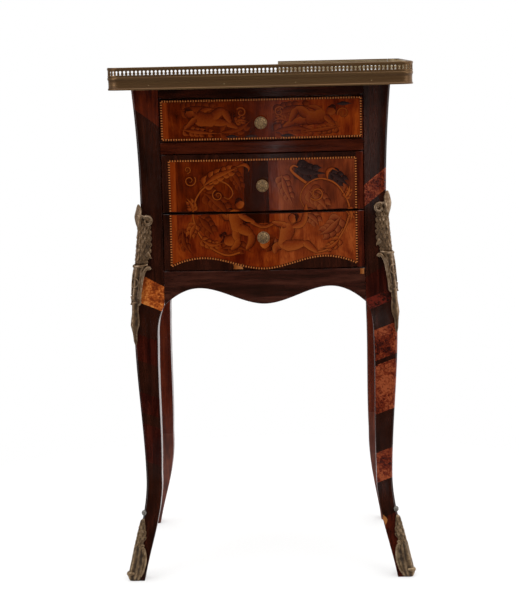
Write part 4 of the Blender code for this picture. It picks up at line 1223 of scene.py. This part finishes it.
def gallery_strip(name, samples):
    """A strip of keyhole piercings between a foot and a rounded rim. Its inner faces take a paler brass:
    painted light, as if they were lit.
    """
    lengths = distances([point for point, _ in samples])
    start, end = GAP / 2, lengths[-1] - GAP / 2

    def place(distance, depth, z):
        k, t = locate(lengths, distance)
        point = samples[k][0].lerp(samples[k + 1][0], t)
        normal = samples[k][1].lerp(samples[k + 1][1], t).normalized()
        return (*(point - normal * depth), TOP_SURFACE + GAP + z)

    count = max(1, round((end - start) / KEYHOLE_PITCH))
    pitch = (end - start) / count
    hole, rim = keyhole(pitch)
    loops = [half + [(-x, z) for x, z in half[-2:0:-1]] for half in (rim, hole)]
    bm = new_shape()
    for i in range(count):
        middle = start + (i + 0.5) * pitch
        rings = []
        for loop, depth in ((0, 0), (1, 0), (1, 1), (0, 1)):
            rings.append([place(middle + x, GALLERY_DEPTHS[depth], z) for x, z in loops[loop]])
        skin(bm, rings, lambda row, i: int(row == 2), caps=False)
    bmesh.ops.remove_doubles(bm, verts=bm.verts, dist=0.00001)
    tall = OVERALL_HEIGHT - TOP_SURFACE - GAP
    sole = -0.9 * GAP  # almost on the band, so that no light shows under the strip
    # Outlines of the foot and the rim: depth behind the edge, and height
    foot = ((0.0003, sole), (0.0002, 0.0008), (0.0004, 0.0015), (0.0021, 0.0015), (0.0022, sole))
    cord = ((0.0005, 0.0085), (0.0000, 0.0095), (0.0000, 0.0108), (0.0004, tall - 0.0003), (0.0012, tall))
    cord += ((0.0021, tall - 0.0003), (0.0025, 0.0108), (0.0025, 0.0095), (0.0020, 0.0085))
    stations = [start] + [d for d in lengths[1:-1] if start + 0.0002 < d < end - 0.0002] + [end]
    # The inner faces of the foot and the rim take the pale brass of painted light
    for profile, inside in ((foot, (2, 3)), (cord, (6, 7))):
        rings = [[place(d, depth, z) for depth, z in profile] for d in stations]
        skin(bm, rings, lambda row, i: int(i in inside))
    piece(f"{name}_pierced", bm, [BRASS_ROLLED, BRASS_INSIDE_PAINTED_LIGHT], "carcass", [name])


rear_end = EDGE["rear_right"][-1]
gallery_strip("gallery_front", EDGE["front_left"] + EDGE["front"] + EDGE["front_right"])
gallery_strip("gallery_right", [EDGE["front_right"][-1]] + EDGE["rear_right"])
gallery_strip("gallery_rear", [rear_end, (Vector((REAR_GALLERY_END, TOP_HALF_DEPTH)), rear_end[1])])

PIN_HEAD = ((0.00012, 0.00075), (0.0005, 0.00060), (0.0009, 0.00030), (0.0010, -0.0006))
PIN_SINK = 0.0016  # behind the edge of the top
PIN_HEIGHT = CASE_TOP + 0.0062
bm = new_shape()
for x in (-0.1500, -0.0480, 0.0480, 0.1500):
    turned(bm, PIN_HEAD, Vector((x, top_front(x) + PIN_SINK, PIN_HEIGHT)), 12)
piece("edge_band_pins", bm, [BRASS_TURNED], "carcass")


# Cast mounts, modelled on the outer corner of a post


def on_corner(place, z, across, rise):
    """A point over a post's outer corner. across goes from the ridge to the front or, below 0, to the side.

    place gives the corner's signs, how much higher the casting sits, and what share of the rise it has.
    """
    side_x, side_y, step, share = place
    z = z + step
    rise = rise * share
    outer_x, outer_y = WAIST_HALF_WIDTH + flare(z), WAIST_HALF_DEPTH + flare(z)
    arc = POST_ROUND * math.pi / 4
    centre_x, centre_y = outer_x - POST_ROUND, outer_y - POST_ROUND
    if abs(across) <= arc:
        turn = math.pi / 4 + across / POST_ROUND
        x = centre_x + (POST_ROUND + rise) * math.cos(turn)
        y = centre_y + (POST_ROUND + rise) * math.sin(turn)
    elif across > 0:
        x, y = centre_x - (across - arc), outer_y + rise
    else:
        x, y = outer_x + rise, centre_y - (-across - arc)
    return Vector((side_x * (x - tuck(z, (side_x, side_y))), side_y * y, z))


def relief(bm, place, top, bottom, half_width, surface, rows, columns=32):
    """A casting over the corner. surface gives its height and hollowness by share across and share down."""
    rings, hollows = [], []
    for j in range(rows + 1):
        t = j / rows
        z = top + (bottom - top) * t
        width = half_width(t)
        crown, seat, hollow = [], [], []
        for i in range(columns + 1):
            s = 2.0 * i / columns - 1.0
            rise, deep = surface(s, t)
            crown.append(on_corner(place, z, s * width, rise))
            seat.append(on_corner(place, z, s * width, -0.0003))
            hollow.append(deep)
        rings.append(crown + seat[::-1])
        hollows.append(hollow + hollow[::-1])
    skin(bm, rings, marks=lambda row, i: ("hollow", hollows[row][i]))


def blade(bm, place, points, widths, thicknesses, steps=6, sides=10):
    """A rod or leaf over the corner, swept through (across, height, rise) points."""
    path = smooth_path(points, steps)
    count = len(path) - 1
    spots = [on_corner(place, p.y, p.x, p.z) for p in path]
    rings = []
    for i, p in enumerate(path):
        ahead = (spots[min(count, i + 1)] - spots[max(0, i - 1)]).normalized()
        up = (on_corner(place, p.y, p.x, p.z + 0.001) - spots[i]).normalized()
        side = ahead.cross(up).normalized()
        up = side.cross(ahead)
        half = between(widths, i / count) / 2
        thick = between(thicknesses, i / count) / 2
        ring = []
        for k in range(sides):
            angle = 2.0 * math.pi * k / sides
            ring.append(spots[i] + side * half * math.cos(angle) + up * thick * math.sin(angle))
        rings.append(ring)
    # The underside of a rod, towards the post, is marked hollow and so is darker: partly dirt, partly painted
    # shade
    skin(bm, rings, marks=lambda row, i: ("hollow", 0.3 * (math.sin(2.0 * math.pi * i / sides) < -0.3)))


def volute(across, z, rise, radius, start, turns, steps=14, tail=0.25):
    """Points of a spiral that lies flat on a face of the post, for a blade."""
    return [(p.x, p.y, rise) for p in curl((across, z), radius, start, turns, steps, tail)]


def foliage(rows, columns, tip, height, crest):
    """A surface for relief(): overlapping leaf tips in staggered rows, each with a vein."""

    def surface(s, t):
        v = t * rows
        for row in (math.floor(v) - 1, math.floor(v)):
            place = s * columns / 2 + (0.5 if row % 2 else 0.0)
            off = 2.0 * (place - round(place))
            end = row + 1 + tip * (1.0 - off * off)
            if v < end:
                break
        share = (v - row) / (end - row)
        own = 0.8 + 0.2 * math.sin(12.9 * row + 7.3 * round(place))
        lobe = own * (0.15 + 0.85 * math.sin(math.pi / 2 * share)) * (1.0 - 0.55 * off * off)
        vein = math.exp(-((off / 0.16) ** 2))
        dome = math.sqrt(max(0.0, 1.0 - abs(s) ** 2.4))
        rise = 0.0009 + height * dome + crest * (lobe - 0.25 * vein)
        edge = min(1.0, 10.0 * t + 0.2, 10.0 * (1.0 - t) + 0.2)
        # The gaps and veins are marked hollow and so are darker, and the leaf tips stay bright: partly wax,
        # dirt and rubbing, partly painted shade and painted highlight
        return rise * edge, min(1.0, max(0.0, 1.05 - 1.3 * lobe + 0.4 * vein))

    return surface


def fluted(flutes, crown, depth):
    """A surface for relief(): a smooth band with flutes that run down it, its crown given by share down."""

    def surface(s, t):
        groove = 0.5 + 0.5 * math.cos(2.0 * math.pi * flutes * s)
        dome = math.sqrt(max(0.0, 1.0 - abs(s) ** 3))
        rise = 0.0008 + between(crown, t) * dome - depth * (1.0 - groove) * dome
        # The flutes are marked hollow and so are darker: partly dirt, partly painted shade
        return rise * min(1.0, 10.0 * t + 0.3, 10.0 * (1.0 - t) + 0.2), 0.9 * (1.0 - groove)

    return surface


def lobed(widths, count, depth):
    """Half widths along a casting, with rounded lobes along its edge."""

    def half_width(t):
        share = t * count - math.floor(t * count)
        return between(widths, t) * (1.0 - depth + depth * math.sin(math.pi * share**0.7))

    return half_width


def ends(values):
    """Stops for a value that changes evenly from one end to the other."""
    return [(0.0, values[0]), (1.0, values[1])]


def pair(points, side):
    """The same points on the front face or, mirrored over the ridge, on the side face."""
    return [(side * across, z, rise) for across, z, rise in points]


# Tops and bottoms of the mounts' and sabots' parts
MOUNT_LEAVES = (0.5130, 0.4455)
MOUNT_STEM = (0.4490, 0.3960)
MOUNT_HUSK = (0.4000, 0.3360)
SABOT_LEAF = (0.0850, 0.0450)
SABOT_SHELL = (0.0470, 0.0006)


def corner_mount(side, place):
    """A foliate mount: a curled leaf, scrolls, a body of leaves, a collar, a fluted stem and a husk."""
    bm = new_shape()
    body = [(0.0, 0.0100), (0.2, 0.0150), (0.5, 0.0172), (0.75, 0.0174), (0.9, 0.0142), (1.0, 0.0115)]
    leaves = foliage(11.0, 7.0, 0.7, 0.0024, 0.0027)
    relief(bm, place, *MOUNT_LEAVES, lobed(body, 8.0, 0.15), leaves, 140, 56)
    stem = [(0.0, 0.0105), (0.2, 0.0088), (0.5, 0.0074), (1.0, 0.0066)]
    flutes = fluted(1.5, [(0.0, 0.0050), (1.0, 0.0058)], 0.0016)
    relief(bm, place, *MOUNT_STEM, lambda t: between(stem, t), flutes, 40, 36)
    husk = [(0.0, 0.0056), (0.25, 0.0054), (0.42, 0.0070), (0.55, 0.0070), (0.66, 0.0046), (0.73, 0.0034)]
    husk += [(0.9, 0.0032), (1.0, 0.0014)]
    crown = [(0.0, 0.0056), (0.3, 0.0046), (0.55, 0.0064), (0.75, 0.0034), (1.0, 0.0010)]
    relief(bm, place, *MOUNT_HUSK, lambda t: between(husk, t), fluted(1.0, crown, 0.0016), 60, 32)
    ridge = ((0.4960, 0.0030), (0.5070, 0.0064), (0.5160, 0.0070), (0.5240, 0.0052), (0.5320, 0.0056))
    tongue = [(0.0, z, rise) for z, rise in ridge]
    tongue_width = [(0.0, 0.0030), (0.2, 0.0100), (0.45, 0.0150), (0.7, 0.0130)]
    tongue_width += [(0.85, 0.0100), (1.0, 0.0030)]
    blade(bm, place, tongue, tongue_width, ends((0.0048, 0.0024)), 8, 14)
    scroll = [(0.0172, 0.4418, 0.0026), (0.0150, 0.4444, 0.0036), (0.0115, 0.4425, 0.0050)]
    scroll += [(0.0085, 0.4350, 0.0056), (0.0074, 0.4230, 0.0054)]
    scroll += [(0.0068, 0.4090, 0.0050), (0.0070, 0.3990, 0.0044)]
    groove = [(x - 0.0032, z - 0.0028, h + 0.0010) for x, z, h in scroll[2:6]]
    knuckle = [(0.0040, 0.4040, 0.0060), (0.0072, 0.4000, 0.0052)]
    knuckle += [(0.0072, 0.3950, 0.0050), (0.0046, 0.3930, 0.0060)]
    lip = [(0.0105, 0.4640, 0.0030), (0.0145, 0.4605, 0.0040), (0.0178, 0.4572, 0.0028)]
    strips = (  # points on the front face, and the width and thickness at both ends
        (scroll, (0.0054, 0.0030), (0.0044, 0.0026)),
        (groove, (0.0024, 0.0016), (0.0028, 0.0020)),
        (knuckle, (0.0026, 0.0022), (0.0034, 0.0026)),
        (lip, (0.0086, 0.0014), (0.0038, 0.0014)),
    )
    for way in (-1.0, 1.0):
        for points, widths, thicknesses in strips:
            blade(bm, place, pair(points, way), ends(widths), ends(thicknesses))
        head = volute(way * 0.0092, 0.5085, 0.0048, 0.0066, 0.25 + way * 0.12, -way * 1.4, 20, 0.25)
        blade(bm, place, head, ends((0.0054, 0.0026)), ends((0.0050, 0.0032)), 3)
    roll = [(-0.0070, 0.5130, 0.0046), (-0.0035, 0.5155, 0.0070), (0.0, 0.5165, 0.0078)]
    collar = [(-0.0130, 0.4482, 0.0024), (-0.0060, 0.4470, 0.0052), (0.0, 0.4462, 0.0068)]
    for points in (roll, collar):
        swell = [(0.0, 0.0030), (0.5, 0.0040), (1.0, 0.0030)]
        blade(bm, place, points + pair(points[-2::-1], -1.0), swell, swell)
    angles = spread(0.0, 2.0 * math.pi, 16)
    ring = [(0.0030 * math.sin(a), 0.4240 + 0.0066 * math.cos(a), 0.0066) for a in angles]
    blade(bm, place, ring, ends((0.0016, 0.0016)), ends((0.0022, 0.0022)), 2)
    name = f"corner_mount_{side}"
    piece(f"{name}_chased", bm, [BRASS_CAST], "carcass", [name])


corner_mount("left", (-1, -1, 0.0, 0.85))
corner_mount("right", (1, -1, MOUNT_STEP, 0.6))


def shell_face(s, t):
    """A surface for relief(): ribs of a sabot's shell, with two hollows inside its scrolled edge."""
    ribs = fluted(2.5, [(0.0, 0.0018), (0.6, 0.0028), (1.0, 0.0032)], 0.0012)
    rise, deep = ribs(s, t)
    across = ((abs(s) - 0.60) / 0.17) ** 2
    hole = math.exp(-across - ((t - 0.27) / 0.08) ** 2) + math.exp(-across - ((t - 0.48) / 0.09) ** 2)
    hole = min(1.0, hole)
    # The two hollows and the ribs' grooves are marked hollow and so are darker: partly dirt, partly painted
    # shade
    return rise * (1.0 - 0.8 * hole), max(deep, 1.4 * hole)


def sabot(corner, signs):
    """A foliate shoe: a leaf up the ridge, and a ribbed shell with scrolled edges and a curled toe."""
    bm = new_shape()
    place = (*signs, 0.0, 1.0)
    spine = [(0.0, 0.0020), (0.33, 0.0066), (0.64, 0.0106), (0.8, 0.0088), (1.0, 0.0055)]
    leaves = foliage(8.0, 4.0, 0.7, 0.0014, 0.0020)
    relief(bm, place, *SABOT_LEAF, lobed(spine, 5.0, 0.16), leaves, 80, 36)
    shell = [(0.0, 0.0072), (0.07, 0.0108), (0.28, 0.0148), (0.48, 0.0168), (0.82, 0.0156), (1.0, 0.0135)]
    relief(bm, place, *SABOT_SHELL, lambda t: between(shell, t), shell_face, 72, 64)
    scroll = [(0.0058, 0.0465, 0.0022), (0.0104, 0.0440, 0.0024), (0.0146, 0.0345, 0.0024)]
    scroll += [(0.0166, 0.0240, 0.0024), (0.0160, 0.0140, 0.0026), (0.0140, 0.0070, 0.0026)]
    for way in (-1.0, 1.0):
        blade(bm, place, pair(scroll, way), ends((0.0036, 0.0024)), ends((0.0036, 0.0026)))
        eye = volute(way * 0.0076, 0.0478, 0.0018, 0.0030, 0.75, -way * 1.0, 10)
        blade(bm, place, eye, ends((0.0026, 0.0018)), ends((0.0032, 0.0024)), 3)
    toe = [(-0.0034, 0.0112, 0.0024), (-0.0016, 0.0107, 0.0042), (0.0, 0.0104, 0.0050)]
    swell = [(0.0, 0.0040), (0.5, 0.0062), (1.0, 0.0040)]
    blade(bm, place, toe + pair(toe[-2::-1], -1.0), swell, swell)
    piece(f"sabot_{corner}_chased", bm, [BRASS_DULL], "carcass", [f"sabot_{corner}"])


for corner, signs in CORNERS.items():
    sabot(corner, signs)


# Lost veneer at the inner edge of the right front foot
bm = new_shape()
path = smooth_path([(0.0198, 0.0850), (0.0188, 0.0800), (0.0192, 0.0750), (0.0202, 0.0705)], 3)
right_foot = (*CORNERS["front_right"], 0.0, 1.0)


def on_right_foot(spot, rise):
    across, z = spot
    return on_corner(right_foot, z, across, rise)


inlay(bm, path, LEAF, 0.0064, 0, BARE_RISE, PALE, on_right_foot)
piece("foot_lost_veneer", bm, [BARE_WOOD], "carcass")


# Finishes of the CAD nodes that show as they are


def finish_node(name, material):
    slots = NODES[name].data.materials
    slots.clear()
    slots.append(material)


finish_node("top_board", ROSEWOOD_TOP)
for name in ("back_panel", "back_rail", "bottom_board"):
    finish_node(name, OAK_ACROSS)
for side in ("left", "right"):
    finish_node(f"kicker_{side}", OAK_ALONG)
    for level in KNOB_HEIGHTS:
        finish_node(f"{level}_runner_{side}", OAK_ALONG)
        finish_node(f"{level}_drawer_side_{side}", OAK_ALONG)
for level in KNOB_HEIGHTS:
    finish_node(f"{level}_drawer_back", OAK_ACROSS)
    finish_node(f"{level}_drawer_bottom", OAK_ACROSS)
    finish_node(f"{level}_drawer_knob_nut", BRASS_TURNED)
for corner in CORNERS:
    finish_node(f"sabot_nail_{corner}", STEEL)


# Studio: paper that fades into a white room. A dark flag hangs in front, so that the polish doesn't turn
# milky. In reflections the room is dim in front and behind on the left, but for a window, two softboxes
# and a bright horizon.

FLOOR_HALF = 1.0
FLOOR_REACH = 0.7  # the paper has faded away this far from the middle

bm = bmesh.new()
edge = [(-1, -1), (1, -1), (1, 1), (-1, 1)]
bm.faces.new([bm.verts.new((x * FLOOR_HALF, y * FLOOR_HALF, 0.0)) for x, y in edge])
floor_mesh = bpy.data.meshes.new("studio_floor")
bm.to_mesh(floor_mesh)
bm.free()
floor = bpy.data.objects.new("studio_floor", floor_mesh)
bpy.context.scene.collection.objects.link(floor)
material, tree, place = new_material("studio_paper_white")
fibre = add_node(tree, "TexNoise", {"Vector": place, "Scale": 300.0, "Detail": 2.0}, "Fac")
paper = add_node(tree, "ValToRGB", {"Fac": fibre}, "Color", [(0.3, "fafafa"), (0.7, "fdfdfd")])
matt = add_node(tree, "BsdfPrincipled", {"Base Color": paper, "Roughness": 0.9})
near = add_node(tree, "Mapping", {"Vector": place, "Scale": (1.0 / FLOOR_REACH, 1.0 / FLOOR_REACH, 1.0)})
near = add_node(tree, "TexGradient", {"Vector": near}, "Fac", gradient_type="SPHERICAL")
share = add_node(tree, "MapRange", {"Value": near, **span(0.0, 0.55, 0.0, 0.5)})
clear = add_node(tree, "BsdfTransparent")
paper = add_node(tree, "MixShader", {"Fac": share, "Shader": clear, "Shader_001": matt})
add_node(tree, "OutputMaterial", {"Surface": paper})
floor_mesh.materials.append(material)

world = bpy.data.worlds.new("studio_room")
bpy.context.scene.world = world
world.use_nodes = True
tree = world.node_tree
tree.nodes.clear()
ray = tree.nodes.new("ShaderNodeLightPath")
seen = add_node(
    tree,
    "Math",
    {"Value": ray.outputs["Is Camera Ray"], "Value_001": ray.outputs["Is Transmission Ray"]},
    operation="MAXIMUM",
)
way = tree.nodes.new("ShaderNodeSeparateXYZ")
tree.links.new(add_node(tree, "TexCoord", out="Generated"), way.inputs["Vector"])
right, away, up = (way.outputs[axis] for axis in "XYZ")


def within(value, start, full, fading, end):
    """1 where a part of the direction lies between full and fading, going down to 0 at start and end."""
    share = 1.0
    for outside, inside in ((start, full), (end, fading)):
        edge = add_node(tree, "MapRange", {"Value": value, **span(outside, inside, 0.0, 1.0)})
        share = add_node(tree, "Math", {"Value": edge, "Value_001": share}, operation="MULTIPLY")
    return share


behind = add_node(tree, "MapRange", {"Value": away, **span(-0.3, 0.4, 0.015, 1.0)})
side = add_node(tree, "MapRange", {"Value": right, **span(-0.05, 0.06, 0.08, 1.0)})
horizon = within(up, -0.01, 0.01, 0.05, 0.08)
side = add_node(tree, "Math", {"Value": side, "Value_001": horizon}, operation="MAXIMUM")
behind = add_node(tree, "Math", {"Value": behind, "Value_001": side}, operation="MULTIPLY")
above = add_node(tree, "MapRange", {"Value": up, **span(0.45, 0.9, 0.0, 1.0)})
room = add_node(tree, "Math", {"Value": behind, "Value_001": above}, operation="MAXIMUM")
apart = add_node(tree, "Math", {"Value": right}, operation="ABSOLUTE")
lights = (  # strength, and where the light lies across and in height
    (1.4, right, (0.0, 0.015, 0.03, 0.045), (-0.21, -0.15, -0.09, -0.04)),  # the window in front
    (1.8, apart, (0.72, 0.80, 0.93, 0.97), (-0.35, -0.25, 0.25, 0.35)),  # tall softboxes at both sides
)
ahead = within(away, -1.1, -1.05, -0.1, 0.0)
for strength, across, width, height in lights:
    light = within(across, *width)
    for factor in (within(up, *height), ahead, strength):
        light = add_node(tree, "Math", {"Value": light, "Value_001": factor}, operation="MULTIPLY")
    room = add_node(tree, "Math", {"Value": room, "Value_001": light}, operation="MAXIMUM")
flag = add_node(tree, "MapRange", {"Value": away, **span(-0.90, -0.55, 0.04, 1.3)})
lit = add_node(tree, "Mix", {"Factor_Float": ray.outputs["Is Glossy Ray"], "A_Float": flag, "B_Float": room})
level = add_node(tree, "Mix", {"Factor_Float": seen, "A_Float": lit, "B_Float": 1.0})
sky = add_node(tree, "Background", {"Color": (1.0, 1.0, 1.0, 1.0), "Strength": level})
add_node(tree, "OutputWorld", {"Surface": sky})


def soft_lamp(name, place, target, width, height, power):
    data = bpy.data.lights.new(name, "AREA")
    data.shape = "RECTANGLE"
    data.size = width
    data.size_y = height
    data.energy = power
    lamp = bpy.data.objects.new(name, data)
    lamp.location = place
    lamp.rotation_euler = (Vector(target) - Vector(place)).to_track_quat("-Z", "Y").to_euler()
    bpy.context.scene.collection.objects.link(lamp)


soft_lamp("key_softbox", (1.6, -2.0, 2.2), (0.0, 0.0, 0.45), 1.2, 1.2, 10.0)
soft_lamp("fill_softbox", (-1.8, -1.8, 2.0), (0.0, 0.0, 0.45), 1.0, 1.2, 7.0)
soft_lamp("overhead_softbox", (0.0, 0.1, 2.8), (0.0, 0.0, 0.0), 2.4, 2.4, 16.0)

# Camera at the photograph's viewing angle

SENSOR = 36.0
FOCAL_PIXELS = 1608.0
IMAGE_LONG_SIDE = 600.0
CAMERA_PLACE = (0.0450, -2.3304, 0.7518)
CAMERA_PITCH = math.radians(9.165)
CAMERA_YAW = math.radians(-1.373)
CAMERA_ROLL = math.radians(-1.35)

camera_data = bpy.data.cameras.new("camera")
camera_data.sensor_width = SENSOR
camera_data.lens = SENSOR * FOCAL_PIXELS / IMAGE_LONG_SIDE
camera = bpy.data.objects.new("camera", camera_data)
camera.location = CAMERA_PLACE
aim = Matrix.Rotation(-CAMERA_YAW, 4, "Z") @ Matrix.Rotation(math.pi / 2 - CAMERA_PITCH, 4, "X")
camera.rotation_euler = (aim @ Matrix.Rotation(CAMERA_ROLL, 4, "Z")).to_euler()
bpy.context.scene.collection.objects.link(camera)
bpy.context.scene.camera = camera
bpy.context.scene.view_settings.view_transform = "Standard"
